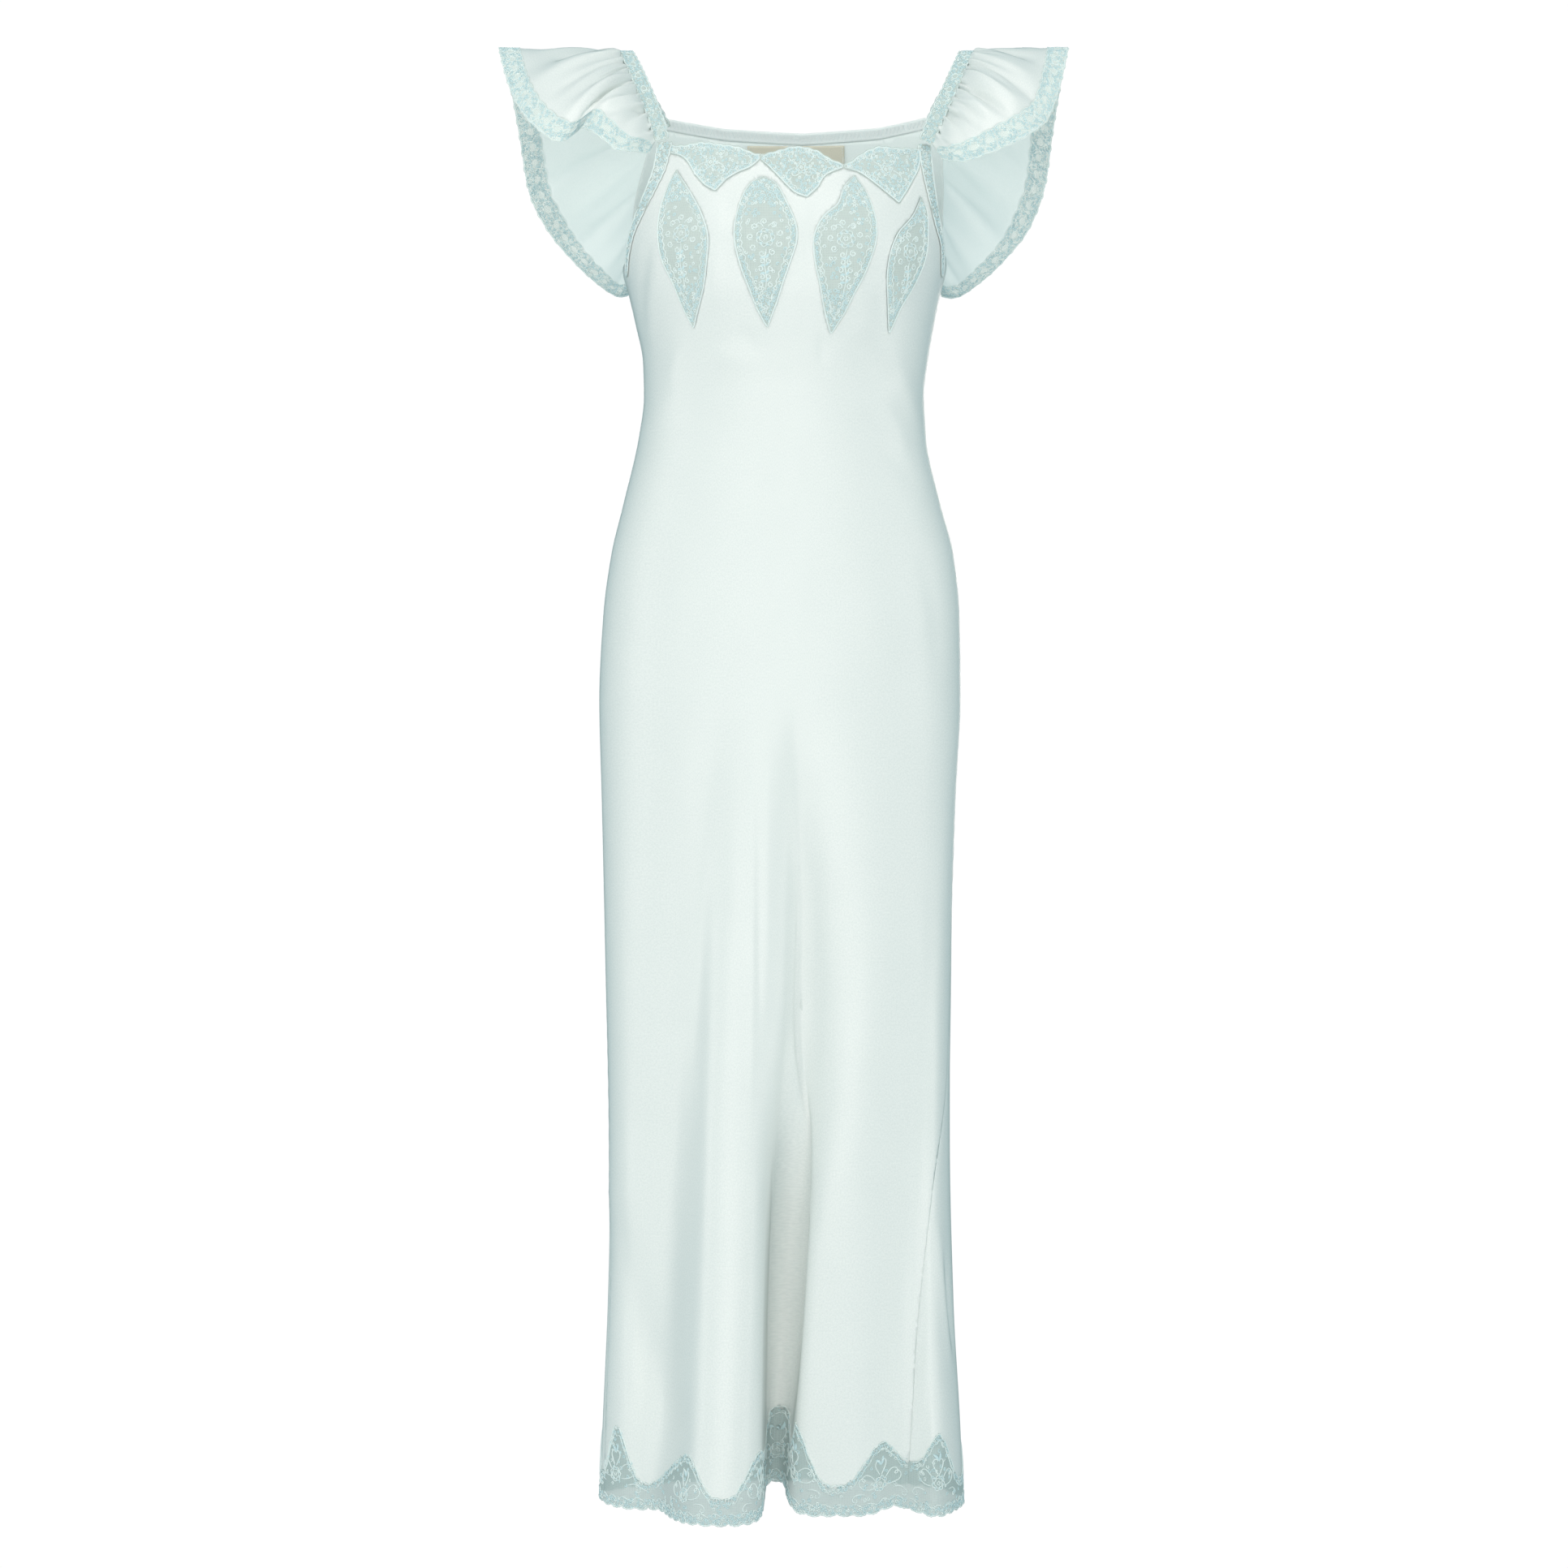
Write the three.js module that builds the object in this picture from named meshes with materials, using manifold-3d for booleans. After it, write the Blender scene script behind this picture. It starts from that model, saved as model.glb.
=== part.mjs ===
// A satin maxi dress with flutter sleeves and lace insets, held in the hollow shape that it has when worn.
// Millimetres. +Z is up, the front faces -Y, and the wearer's left is +X.
// The origin is midway between the shoulders, at the height where the straps rest on them.

import * as THREE from 'three';
import Module from 'manifold-3d';
import { mergeVertices } from 'three/addons/utils/BufferGeometryUtils.js';

const wasm = await Module();
wasm.setup();

// Driving dimensions
const CLOTH = 1.5;              // wall of satin and of lace
const SEAM_GAP = 0.3;           // between two pieces at a seam
const SIDE_SEAM_GAP = 0.5;      // between front and back, where folds narrow it
const LACE_GAP = 0.6;           // measured upright, over the slant of the hem lace's upper edge
const HEM_Z = -1437;            // hem's level at the sides
const FOLD_START_Z = -640;      // skirt folds begin at the hip
const FOLD_GROWTH = 1.15;       // how a fold deepens from the hip to the hem
const STRAP_WIDTH = 15;
const TRIM_WIDTH = 11;          // lace on the front armholes
const NECK_BAND_WIDTH = 10;
const SLEEVE_LACE_WIDTH = 21;
const GATHER_DEPTH = 2.2;       // gathers of a sleeve head along its strap
const GATHERS = 9;

// Sections of the dress: reach from the centre line to the wearer's right and left, to the front and back,
// and how square the section is, where 2 is an ellipse.
const SECTIONS = [
  { z: 0, right: 168, left: 174, front: 90, back: 80, square: 2.2 },
  { z: -60, right: 168, left: 174, front: 96, back: 88, square: 2.2 },
  { z: -104, right: 168, left: 170, front: 105, back: 94, square: 2.2 },
  { z: -150, right: 167, left: 166, front: 118, back: 100, square: 2.3 },
  { z: -215, right: 161, left: 161, front: 131, back: 100, square: 2.5 },
  { z: -245, right: 153, left: 154, front: 129, back: 97, square: 2.45 },
  { z: -275, right: 146, left: 148, front: 122, back: 92, square: 2.35 },
  { z: -310, right: 139, left: 142, front: 112, back: 85, square: 2.25 },
  { z: -345, right: 138, left: 138, front: 103, back: 80, square: 2.2 },
  { z: -385, right: 143, left: 140, front: 98, back: 80, square: 2.2 },
  { z: -450, right: 158, left: 154, front: 99, back: 97, square: 2.2 },
  { z: -500, right: 170, left: 167, front: 103, back: 112, square: 2.2 },
  { z: -560, right: 178, left: 173, front: 107, back: 126, square: 2.2 },
  { z: -645, right: 182, left: 174, front: 109, back: 134, square: 2.2 },
  { z: -740, right: 180, left: 170, front: 110, back: 130, square: 2.2 },
  { z: -900, right: 177, left: 166, front: 112, back: 126, square: 2.2 },
  { z: -1080, right: 174, left: 165, front: 116, back: 126, square: 2.2 },
  { z: -1240, right: 175, left: 168, front: 120, back: 130, square: 2.2 },
  { z: -1360, right: 179, left: 174, front: 124, back: 134, square: 2.2 },
  { z: -1450, right: 182, left: 177, front: 126, back: 136, square: 2.2 },
];

// The hem seen from above, a row for each crest, hollow and flank of a fold. The angle says where on the hip
// the fold hangs from: 0 at the centre front, 90 at the wearer's left. Lift is how far the hem rises there.
const HEM = [
  { angle: -102, x: -183, y: 32, lift: 6 },
  { angle: -88, x: -177, y: 6, lift: 2 },
  { angle: -74, x: -159, y: -16, lift: 0 },
  { angle: -60, x: -137, y: -24, lift: 0 },
  { angle: -50, x: -121, y: -40, lift: 2 },
  { angle: -42, x: -108, y: -88, lift: 0 },
  { angle: -34, x: -90, y: -126, lift: 0 },
  { angle: -24, x: -60, y: -140, lift: 0 },
  { angle: -15, x: -35, y: -128, lift: 0 },
  { angle: -9, x: -22, y: -98, lift: 2 },
  { angle: -2, x: -20, y: -46, lift: 12 },
  { angle: 3, x: -18, y: -16, lift: 22 },
  { angle: 6.5, x: -9, y: -2, lift: 26 },
  { angle: 10, x: 0, y: -16, lift: 22 },
  { angle: 14, x: 2, y: -42, lift: 13 },
  { angle: 19, x: 6, y: -64, lift: 4 },
  { angle: 26, x: 20, y: -78, lift: 0 },
  { angle: 36, x: 52, y: -82, lift: 0 },
  { angle: 47, x: 86, y: -62, lift: 0 },
  { angle: 58, x: 108, y: -30, lift: 6 },
  { angle: 67, x: 127, y: -44, lift: 2 },
  { angle: 77, x: 148, y: -66, lift: -2 },
  { angle: 88, x: 168, y: -34, lift: 0 },
  { angle: 101, x: 178, y: 14, lift: 2 },
  { angle: 115, x: 168, y: 58, lift: 4 },
  { angle: 128, x: 142, y: 86, lift: 6 },
  { angle: 140, x: 116, y: 102, lift: 6 },
  { angle: 152, x: 88, y: 134, lift: 4 },
  { angle: 163, x: 56, y: 116, lift: 6 },
  { angle: 174, x: 24, y: 142, lift: 4 },
  { angle: 186, x: -8, y: 118, lift: 6 },
  { angle: 198, x: -44, y: 140, lift: 4 },
  { angle: 210, x: -80, y: 112, lift: 6 },
  { angle: 223, x: -112, y: 122, lift: 5 },
  { angle: 237, x: -148, y: 84, lift: 6 },
  { angle: 248, x: -171, y: 62, lift: 6 },
];

// The hem lace rises to a peak at each repeat of its pattern. Dip is its height halfway to the next peak.
const HEM_LACE = [
  { angle: -79, peak: 76, dip: 23 },
  { angle: -38, peak: 62, dip: 22 },
  { angle: -9, peak: 62, dip: 48 },
  { angle: 6.5, peak: 70, dip: 50 },
  { angle: 17, peak: 80, dip: 26 },
  { angle: 52, peak: 64, dip: 44 },
  { angle: 79, peak: 76, dip: 26 },
  { angle: 110, peak: 72, dip: 24 },
  { angle: 143, peak: 76, dip: 26 },
  { angle: 171, peak: 70, dip: 24 },
  { angle: 200, peak: 76, dip: 26 },
  { angle: 226, peak: 72, dip: 24 },
  { angle: 253, peak: 72, dip: 26 },
];
const COLUMN_AT_HEM = 26;       // from one column of the walls to the next, along the hem
const COLUMN_AT_TURN = 15;      // a turn of one radian counts as this much more length

// Side seams: the angle of the wearer's right and left seam at each level.
const SIDE_SEAMS = [
  { z: -100, right: -90, left: 88 },
  { z: -345, right: -94, left: 92 },
  { z: -900, right: -95, left: 92 },
  { z: -1000, right: -95, left: 88 },
  { z: -1130, right: -94, left: 76 },
  { z: -1250, right: -92, left: 69 },
  { z: -1450, right: -90, left: 63 },
];

// Soft rounding of the bodice over the bust, the same on both sides.
const BUST = { x: 72, z: -218, out: 7, across: 58, high: 62 };

// Top edge of the front, from the wearer's right armhole over the neckline to the left armhole.
const FRONT_TOP = [
  { x: -153, z: -216 },
  { x: -150, z: -196 },
  { x: -143, z: -176 },
  { x: -133, z: -152 },
  { x: -125, z: -130 },
  { x: -121, z: -104 },
  { x: -108, z: -105 },
  { x: -66, z: -110 },
  { x: -23, z: -120 },
  { x: 12, z: -112 },
  { x: 48, z: -127 },
  { x: 88, z: -110 },
  { x: 128, z: -106 },
  { x: 141, z: -105 },
  { x: 143, z: -130 },
  { x: 147, z: -160 },
  { x: 151, z: -184 },
  { x: 155, z: -206 },
];

// Top edge of the back, seen from the front, below the neck band.
const BACK_TOP = [
  { x: -153, z: -216 },
  { x: -153, z: -180 },
  { x: -148, z: -140 },
  { x: -138, z: -100 },
  { x: -127, z: -72 },
  { x: -112, z: -73 },
  { x: -60, z: -80 },
  { x: 18, z: -84 },
  { x: 95, z: -80 },
  { x: 140, z: -73 },
  { x: 153, z: -72 },
  { x: 158, z: -100 },
  { x: 159, z: -140 },
  { x: 158, z: -180 },
  { x: 155, z: -206 },
];

const UNDERARM_Z = -234;

// Middle line of each strap, from the front of the neckline over the shoulder to the back.
const STRAP_RIGHT = [
  { x: -119, y: -80, z: -103.2 },
  { x: -122, y: -74, z: -88 },
  { x: -129, y: -63, z: -68 },
  { x: -138, y: -47, z: -45 },
  { x: -147, y: -28, z: -23 },
  { x: -156, y: 0, z: -4 },
  { x: -152, y: 28, z: -14 },
  { x: -141, y: 50, z: -34 },
  { x: -129, y: 63, z: -54 },
  { x: -120, y: 68, z: -71.3 },
];
const STRAP_LEFT = [
  { x: 138, y: -75, z: -104.2 },
  { x: 144, y: -71, z: -88 },
  { x: 153, y: -62, z: -68 },
  { x: 163, y: -46, z: -45 },
  { x: 172, y: -28, z: -23 },
  { x: 180, y: 0, z: -4 },
  { x: 175, y: 28, z: -14 },
  { x: 165, y: 46, z: -34 },
  { x: 154, y: 55, z: -54 },
  { x: 147, y: 58, z: -71.3 },
];

// Outer edge of each sleeve, a row for each wave and turn, from the front of the strap over the arm and down
// to the underarm. Along is the share of the sleeve head's own length, and arch is how far the cloth rises
// above a straight line from the head to the edge.
const SLEEVE_RIGHT = [
  { along: 0, x: -131, y: -92, z: -118, arch: 0 },
  { along: 0.05, x: -157, y: -112, z: -118, arch: 6 },
  { along: 0.11, x: -178, y: -112, z: -104, arch: 12 },
  { along: 0.16, x: -195, y: -100, z: -95, arch: 14 },
  { along: 0.21, x: -215, y: -116, z: -110, arch: 16 },
  { along: 0.27, x: -246, y: -100, z: -88, arch: 15 },
  { along: 0.33, x: -268, y: -62, z: -48, arch: 10 },
  { along: 0.39, x: -281, y: -8, z: -3, arch: 3 },
  { along: 0.46, x: -274, y: 50, z: -28, arch: 7 },
  { along: 0.53, x: -266, y: 88, z: -76, arch: 14 },
  { along: 0.61, x: -258, y: 104, z: -128, arch: 16 },
  { along: 0.7, x: -240, y: 112, z: -166, arch: 15 },
  { along: 0.79, x: -216, y: 106, z: -196, arch: 13 },
  { along: 0.88, x: -190, y: 92, z: -222, arch: 10 },
  { along: 0.95, x: -168, y: 66, z: -238, arch: 6 },
  { along: 1, x: -155, y: 26, z: -242, arch: 0 },
];
const SLEEVE_LEFT = [
  { along: 0, x: 154, y: -92, z: -124, arch: 0 },
  { along: 0.05, x: 172, y: -108, z: -128, arch: 6 },
  { along: 0.11, x: 194, y: -112, z: -122, arch: 12 },
  { along: 0.16, x: 212, y: -110, z: -114, arch: 14 },
  { along: 0.21, x: 232, y: -106, z: -104, arch: 16 },
  { along: 0.27, x: 254, y: -90, z: -86, arch: 15 },
  { along: 0.33, x: 270, y: -56, z: -44, arch: 10 },
  { along: 0.39, x: 280, y: -8, z: -3, arch: 3 },
  { along: 0.46, x: 276, y: 50, z: -30, arch: 7 },
  { along: 0.53, x: 270, y: 86, z: -74, arch: 14 },
  { along: 0.61, x: 264, y: 102, z: -122, arch: 16 },
  { along: 0.7, x: 249, y: 110, z: -164, arch: 15 },
  { along: 0.79, x: 225, y: 104, z: -196, arch: 13 },
  { along: 0.88, x: 196, y: 90, z: -224, arch: 10 },
  { along: 0.95, x: 172, y: 64, z: -240, arch: 6 },
  { along: 1, x: 157, y: 26, z: -243, arch: 0 },
];

// Lace let into the front. The neckline pieces hang from the edge to a point, and the diamonds hang below.
const NECK_LACE = [
  { name: 'neck_lace_right', left: -112, leftZ: -116, point: [-68, -152], right: -23.2, rightZ: -126 },
  { name: 'neck_lace_middle', left: -22.8, leftZ: -126, point: [22, -161], right: 48.8, rightZ: -131 },
  { name: 'neck_lace_left', left: 49.2, leftZ: -131, point: [104, -160], right: 132, rightZ: -118 },
];
const DIAMONDS = [
  { name: 'diamond_lace_1', top: [-104, -141], wide: [-120, -72, -202], tip: [-88, -285] },
  { name: 'diamond_lace_2', top: [-19, -141], wide: [-49, 13, -200], tip: [-16, -286] },
  { name: 'diamond_lace_3', top: [68, -143.5], wide: [31, 91, -196], tip: [45, -292] },
  { name: 'diamond_lace_4', top: [131, -158], wide: [101, 139, -212], tip: [99, -294] },
];

const LABEL = { width: 98, height: 32, x: 12, top: -88, thickness: 1, inside: 0.7 };

const NECK_BAND_Z = -75;
const NECK_BAND_CLEARANCE = 0.4; // room for the slant of the straps
const ARMHOLE_RISE = 8;         // the armhole lace ends this far above the underarm
const TRIM_DROP = 4;            // and starts this far below the strap
const TRIM_SLACK = 0.3;         // how much looser it lies than the satin under it
const SEWN_IN = 1;              // a sleeve's head starts this far inside the edge that it meets

const SATIN = '#dfeeec';
const LACE = '#b9dfe2';
const BAND = '#c3d8d8';
const LABEL_CLOTH = '#ece3cd';

// Smooth interpolation of one column of a table that runs along another column.
function read(rows, by, at, column) {
  const rising = rows[rows.length - 1][by] > rows[0][by];
  const before = (row) => (rising ? row[by] <= at : row[by] >= at);
  let i = rows.findLastIndex(before);
  i = Math.min(Math.max(i, 0), rows.length - 2);
  const slope = (k) => (rows[k + 1][column] - rows[k][column]) / (rows[k + 1][by] - rows[k][by]);
  const tangent = (k) => {
    if (k === 0) return slope(0);
    if (k === rows.length - 1) return slope(k - 1);
    const [a, b] = [slope(k - 1), slope(k)];
    return a * b <= 0 ? 0 : (2 * a * b) / (a + b);
  };
  const span = rows[i + 1][by] - rows[i][by];
  const t = Math.min(Math.max((at - rows[i][by]) / span, 0), 1);
  const [a, b] = [rows[i][column], rows[i + 1][column]];
  const [ta, tb] = [tangent(i) * span, tangent(i + 1) * span];
  const t2 = t * t;
  const t3 = t2 * t;
  return a * (2 * t3 - 3 * t2 + 1) + ta * (t3 - 2 * t2 + t) + b * (3 * t2 - 2 * t3) + tb * (t3 - t2);
}

// The same, through a table that closes on itself after a full turn of its angle column.
function readHem(angle, column) {
  const n = HEM.length;
  const row = (k) => HEM[((k % n) + n) % n];
  const angleOf = (k) => row(k).angle + 360 * Math.floor(k / n);
  let at = angle;
  while (at < HEM[0].angle) at += 360;
  while (at >= HEM[0].angle + 360) at -= 360;
  let i = 0;
  while (angleOf(i + 1) <= at) i += 1;
  const [p0, p1, p2, p3] = [i - 1, i, i + 1, i + 2].map((k) => row(k)[column]);
  const [a0, a1, a2, a3] = [i - 1, i, i + 1, i + 2].map(angleOf);
  const span = a2 - a1;
  const t = (at - a1) / span;
  const m1 = ((p2 - p0) / (a2 - a0)) * span;
  const m2 = ((p3 - p1) / (a3 - a1)) * span;
  const t2 = t * t;
  const t3 = t2 * t;
  return p1 * (2 * t3 - 3 * t2 + 1) + m1 * (t3 - 2 * t2 + t) + p2 * (3 * t2 - 2 * t3) + m2 * (t3 - t2);
}

const degrees = (angle) => (angle * Math.PI) / 180;

// A point of the plain section, before any fold.
function sectionPoint(angle, z) {
  const s = Math.sin(degrees(angle));
  const c = Math.cos(degrees(angle));
  const reachX = read(SECTIONS, 'z', z, s < 0 ? 'right' : 'left');
  const reachY = read(SECTIONS, 'z', z, c > 0 ? 'front' : 'back');
  const square = read(SECTIONS, 'z', z, 'square');
  const r = (Math.abs(s / reachX) ** square + Math.abs(c / reachY) ** square) ** (-1 / square);
  return [r * s, -r * c];
}

function sectionRadius(angle, z) {
  return Math.hypot(...sectionPoint(angle, z));
}

// The outer face of the dress at an angle round it and a height.
function bodyPoint(angle, z) {
  let [x, y] = sectionPoint(angle, z);
  if (Math.cos(degrees(angle)) > 0) {
    for (const side of [-1, 1]) {
      const dx = (x - side * BUST.x) / BUST.across;
      const dz = (z - BUST.z) / BUST.high;
      y -= BUST.out * Math.exp(-dx * dx - dz * dz);
    }
  }
  if (z < FOLD_START_Z) {
    const grown = ((FOLD_START_Z - z) / (FOLD_START_Z - HEM_Z)) ** FOLD_GROWTH;
    const [hemX, hemY] = sectionPoint(angle, HEM_Z);
    x += grown * (readHem(angle, 'x') - hemX);
    y += grown * (readHem(angle, 'y') - hemY);
  }
  return new THREE.Vector3(x, y, z);
}

function bodyNormal(angle, z) {
  const step = 0.4;
  const across = bodyPoint(angle + step, z).sub(bodyPoint(angle - step, z));
  const down = bodyPoint(angle, z - step).sub(bodyPoint(angle, z + step));
  return down.cross(across).normalize();
}

// The angle at which the front or the back has a given x.
function angleAtX(x, z, back) {
  let [low, high] = back ? [90, 270] : [-90, 90];
  for (let k = 0; k < 40; k += 1) {
    const middle = (low + high) / 2;
    const over = sectionPoint(middle, z)[0] > x;
    if (over === back) low = middle;
    else high = middle;
  }
  return (low + high) / 2;
}

// A closed wall whose outer face is a grid of points, its thickness inward along the normals. With grow,
// it is that much larger on every side, to cut the room that its seams need out of a neighbour.
function wall(columns, rows, pointAt, normalAt, thickness = CLOTH, grow = 0) {
  const position = [];
  const clamp = (value, limit) => Math.min(Math.max(value, 0), limit);
  const outward = (i, j, alongRow) => {
    const [di, dj] = alongRow ? [1, 0] : [0, 1];
    const next = pointAt(clamp(i + di, columns), clamp(j + dj, rows));
    const last = pointAt(clamp(i - di, columns), clamp(j - dj, rows));
    const inside = alongRow
      ? pointAt(i, j === 0 ? 1 : rows - 1)
      : pointAt(i === 0 ? 1 : columns - 1, j);
    const away = next.clone().sub(last).cross(normalAt(i, j)).setLength(grow);
    return away.dot(inside.clone().sub(pointAt(i, j))) > 0 ? away.negate() : away;
  };
  const spot = cached((i, j) => {
    const p = pointAt(i, j).clone();
    if (grow > 0) {
      p.addScaledVector(normalAt(i, j), grow);
      if (j === 0 || j === rows) p.add(outward(i, j, true));
      if (i === 0 || i === columns) p.add(outward(i, j, false));
    }
    return p;
  });
  for (const depth of [0, thickness + 2 * grow]) {
    for (let j = 0; j <= rows; j += 1) {
      for (let i = 0; i <= columns; i += 1) {
        const p = spot(i, j).clone().addScaledVector(normalAt(i, j), -depth);
        position.push(p.x, p.y, p.z);
      }
    }
  }
  const at = (i, j, inner) => inner * (rows + 1) * (columns + 1) + j * (columns + 1) + i;
  const index = [];
  const quad = (a, b, c, d) => index.push(a, b, c, a, c, d);
  for (let j = 0; j < rows; j += 1) {
    for (let i = 0; i < columns; i += 1) {
      quad(at(i, j, 0), at(i, j + 1, 0), at(i + 1, j + 1, 0), at(i + 1, j, 0));
      quad(at(i, j, 1), at(i + 1, j, 1), at(i + 1, j + 1, 1), at(i, j + 1, 1));
    }
  }
  for (let i = 0; i < columns; i += 1) {
    quad(at(i, 0, 0), at(i + 1, 0, 0), at(i + 1, 0, 1), at(i, 0, 1));
    quad(at(i, rows, 0), at(i, rows, 1), at(i + 1, rows, 1), at(i + 1, rows, 0));
  }
  for (let j = 0; j < rows; j += 1) {
    quad(at(0, j, 0), at(0, j, 1), at(0, j + 1, 1), at(0, j + 1, 0));
    quad(at(columns, j, 0), at(columns, j + 1, 0), at(columns, j + 1, 1), at(columns, j, 1));
  }
  const geometry = new THREE.BufferGeometry();
  geometry.setAttribute('position', new THREE.Float32BufferAttribute(position, 3));
  geometry.setIndex(index);
  return geometry;
}

// A function of a column and a row that works each of its points out once.
const cached = (make) => {
  const kept = new Map();
  return (i, j) => {
    const key = i * 1000 + j;
    if (!kept.has(key)) kept.set(key, make(i, j));
    return kept.get(key);
  };
};

// One half of the dress. Columns run from the wearer's right seam to the left on the front, and on the back
// from the left seam to the right. They are even along the hem, with one at each peak of its lace.
function half({ back }) {
  const seams = (z) => {
    const right = read(SIDE_SEAMS, 'z', z, 'right');
    const left = read(SIDE_SEAMS, 'z', z, 'left');
    return back ? [left, right + 360] : [right, left];
  };
  const [hemFrom, hemTo] = seams(HEM_Z);
  const peaks = HEM_LACE.map((row) => row.angle).filter((a) => a > hemFrom + 2 && a < hemTo - 2);
  const stops = [hemFrom, ...peaks, hemTo];
  const shares = [0];
  for (let k = 1; k < stops.length; k += 1) {
    const fine = 60;
    const angleAt = (n) => stops[k - 1] + (n / fine) * (stops[k] - stops[k - 1]);
    const hemPoint = (n) => bodyPoint(angleAt(n), HEM_Z);
    const lengths = [0];
    for (let n = 1; n <= fine; n += 1) {
      const step = hemPoint(n).sub(hemPoint(n - 1));
      const turn = step.angleTo(hemPoint(n + 1).sub(hemPoint(n)));
      lengths.push(lengths[n - 1] + step.length() + COLUMN_AT_TURN * turn);
    }
    const count = Math.max(2, Math.round(lengths[fine] / COLUMN_AT_HEM));
    for (let c = 1; c <= count; c += 1) {
      const n = c === count ? fine : lengths.findIndex((l) => l >= (c / count) * lengths[fine]);
      shares.push((angleAt(n) - hemFrom) / (hemTo - hemFrom));
    }
  }
  const seamGap = (z) => (SIDE_SEAM_GAP / 2 / read(SECTIONS, 'z', z, 'left') / Math.PI) * 180;
  const angle = (i, z) => {
    const [from, to] = seams(z);
    const gap = seamGap(z);
    return from + gap + shares[i] * (to - from - 2 * gap);
  };
  return { angle, columns: shares.length - 1, back };
}

const front = half({ back: false });
const rear = half({ back: true });

// Height of the top edge at an angle, read from the outline table of that half.
function topEdge(panel) {
  const table = panel.back ? BACK_TOP : FRONT_TOP;
  const rows = table.map(({ x, z }) => ({ angle: angleAtX(x, z, panel.back), z }));
  if (panel.back) rows.reverse();
  const [first, last] = [rows[0], rows[rows.length - 1]];
  const edges = [
    { angle: first.angle - 1000, z: UNDERARM_Z },
    ...rows,
    { angle: last.angle + 1000, z: UNDERARM_Z },
  ];
  edges[0].angle = panel.angle(0, UNDERARM_Z);
  edges[edges.length - 1].angle = panel.angle(panel.columns, UNDERARM_Z);
  return (angle) => {
    const k = Math.min(Math.max(edges.findLastIndex((row) => row.angle <= angle), 0), edges.length - 2);
    const t = (angle - edges[k].angle) / (edges[k + 1].angle - edges[k].angle);
    return edges[k].z + Math.min(Math.max(t, 0), 1) * (edges[k + 1].z - edges[k].z);
  };
}

const hemZ = (angle) => HEM_Z + readHem(angle, 'lift');

// Height of the hem lace at an angle of the hem.
function laceHeight(angle) {
  const n = HEM_LACE.length;
  let at = angle;
  while (at < HEM_LACE[0].angle) at += 360;
  const k = HEM_LACE.findLastIndex((row) => row.angle <= at);
  const here = HEM_LACE[k];
  const next = HEM_LACE[(k + 1) % n];
  const span = next.angle + (k === n - 1 ? 360 : 0) - here.angle;
  const t = (at - here.angle) / span;
  const peak = t < 0.5 ? here.peak : next.peak;
  return here.dip + (peak - here.dip) * (0.5 + 0.5 * Math.cos(2 * Math.PI * t)) ** 1.5;
}

const ARMHOLE_ROWS = 6;
const BODICE_ROWS = 8;
const SKIRT_ROWS = 10;
const ROWS = ARMHOLE_ROWS + BODICE_ROWS + SKIRT_ROWS;
const ARMHOLE_END_Z = -264;     // from here down, the rows of the front and back are level
const FRONT_UPPER_EDGE = topEdge(front);
const BACK_UPPER_EDGE = topEdge(rear);

// Grid of the satin of one half, from its top edge down to the hem lace, as an angle and a height.
function satinGrid(panel, upperEdge) {
  const level = (top, bottom, j) => {
    if (j <= ARMHOLE_ROWS) return top + (j / ARMHOLE_ROWS) * (ARMHOLE_END_Z - top);
    const k = j - ARMHOLE_ROWS;
    if (k <= BODICE_ROWS) return ARMHOLE_END_Z + (k / BODICE_ROWS) * (FOLD_START_Z - ARMHOLE_END_Z);
    return FOLD_START_Z + ((k - BODICE_ROWS) / SKIRT_ROWS) * (bottom - FOLD_START_Z);
  };
  return cached((i, j) => {
    const bottomAngle = panel.angle(i, HEM_Z);
    const bottom = hemZ(bottomAngle) + laceHeight(bottomAngle) + LACE_GAP;
    let top = UNDERARM_Z;
    for (let k = 0; k < 12; k += 1) top = upperEdge(panel.angle(i, top));
    const z = level(top, bottom, j);
    return [panel.angle(i, z), z];
  });
}

// The same for the hem lace.
function hemLaceGrid(panel, rows) {
  return cached((i, j) => {
    const low = hemZ(panel.angle(i, HEM_Z));
    const z = low + laceHeight(panel.angle(i, HEM_Z)) * (1 - j / rows);
    return [panel.angle(i, z), z];
  });
}

// Normal of a half at a column and height, which halves the turn from one column to the next.
function panelNormal(panel, i, z) {
  if (i === 0 || i === panel.columns) return bodyNormal(panel.angle(i, z), z);
  const at = (column, height) => bodyPoint(panel.angle(column, height), height);
  const step = 0.4;
  const here = at(i, z);
  const across = at(i + 1, z).sub(here).normalize();
  across.add(here.clone().sub(at(i - 1, z)).normalize());
  const down = at(i, z - step).sub(at(i, z + step));
  return down.cross(across).normalize();
}

// A wall whose outer face is the dress's own surface, moved out by lift, at a grid of angles and heights.
function bodyWall(columns, rows, grid, { lift = 0, thickness = CLOTH, grow = 0, panel = null } = {}) {
  const normal = cached((i, j) => {
    const [angle, z] = grid(i, j);
    return panel ? panelNormal(panel, i, z) : bodyNormal(angle, z);
  });
  const point = cached((i, j) => bodyPoint(...grid(i, j)).addScaledVector(normal(i, j), lift));
  return wall(columns, rows, point, normal, thickness, grow);
}

const group = new THREE.Group();
function add(name, geometry, colour, roughness = 0.45) {
  const material = new THREE.MeshStandardMaterial({ color: colour, roughness, metalness: 0 });
  const mesh = new THREE.Mesh(geometry, material);
  mesh.name = name;
  group.add(mesh);
}

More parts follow.
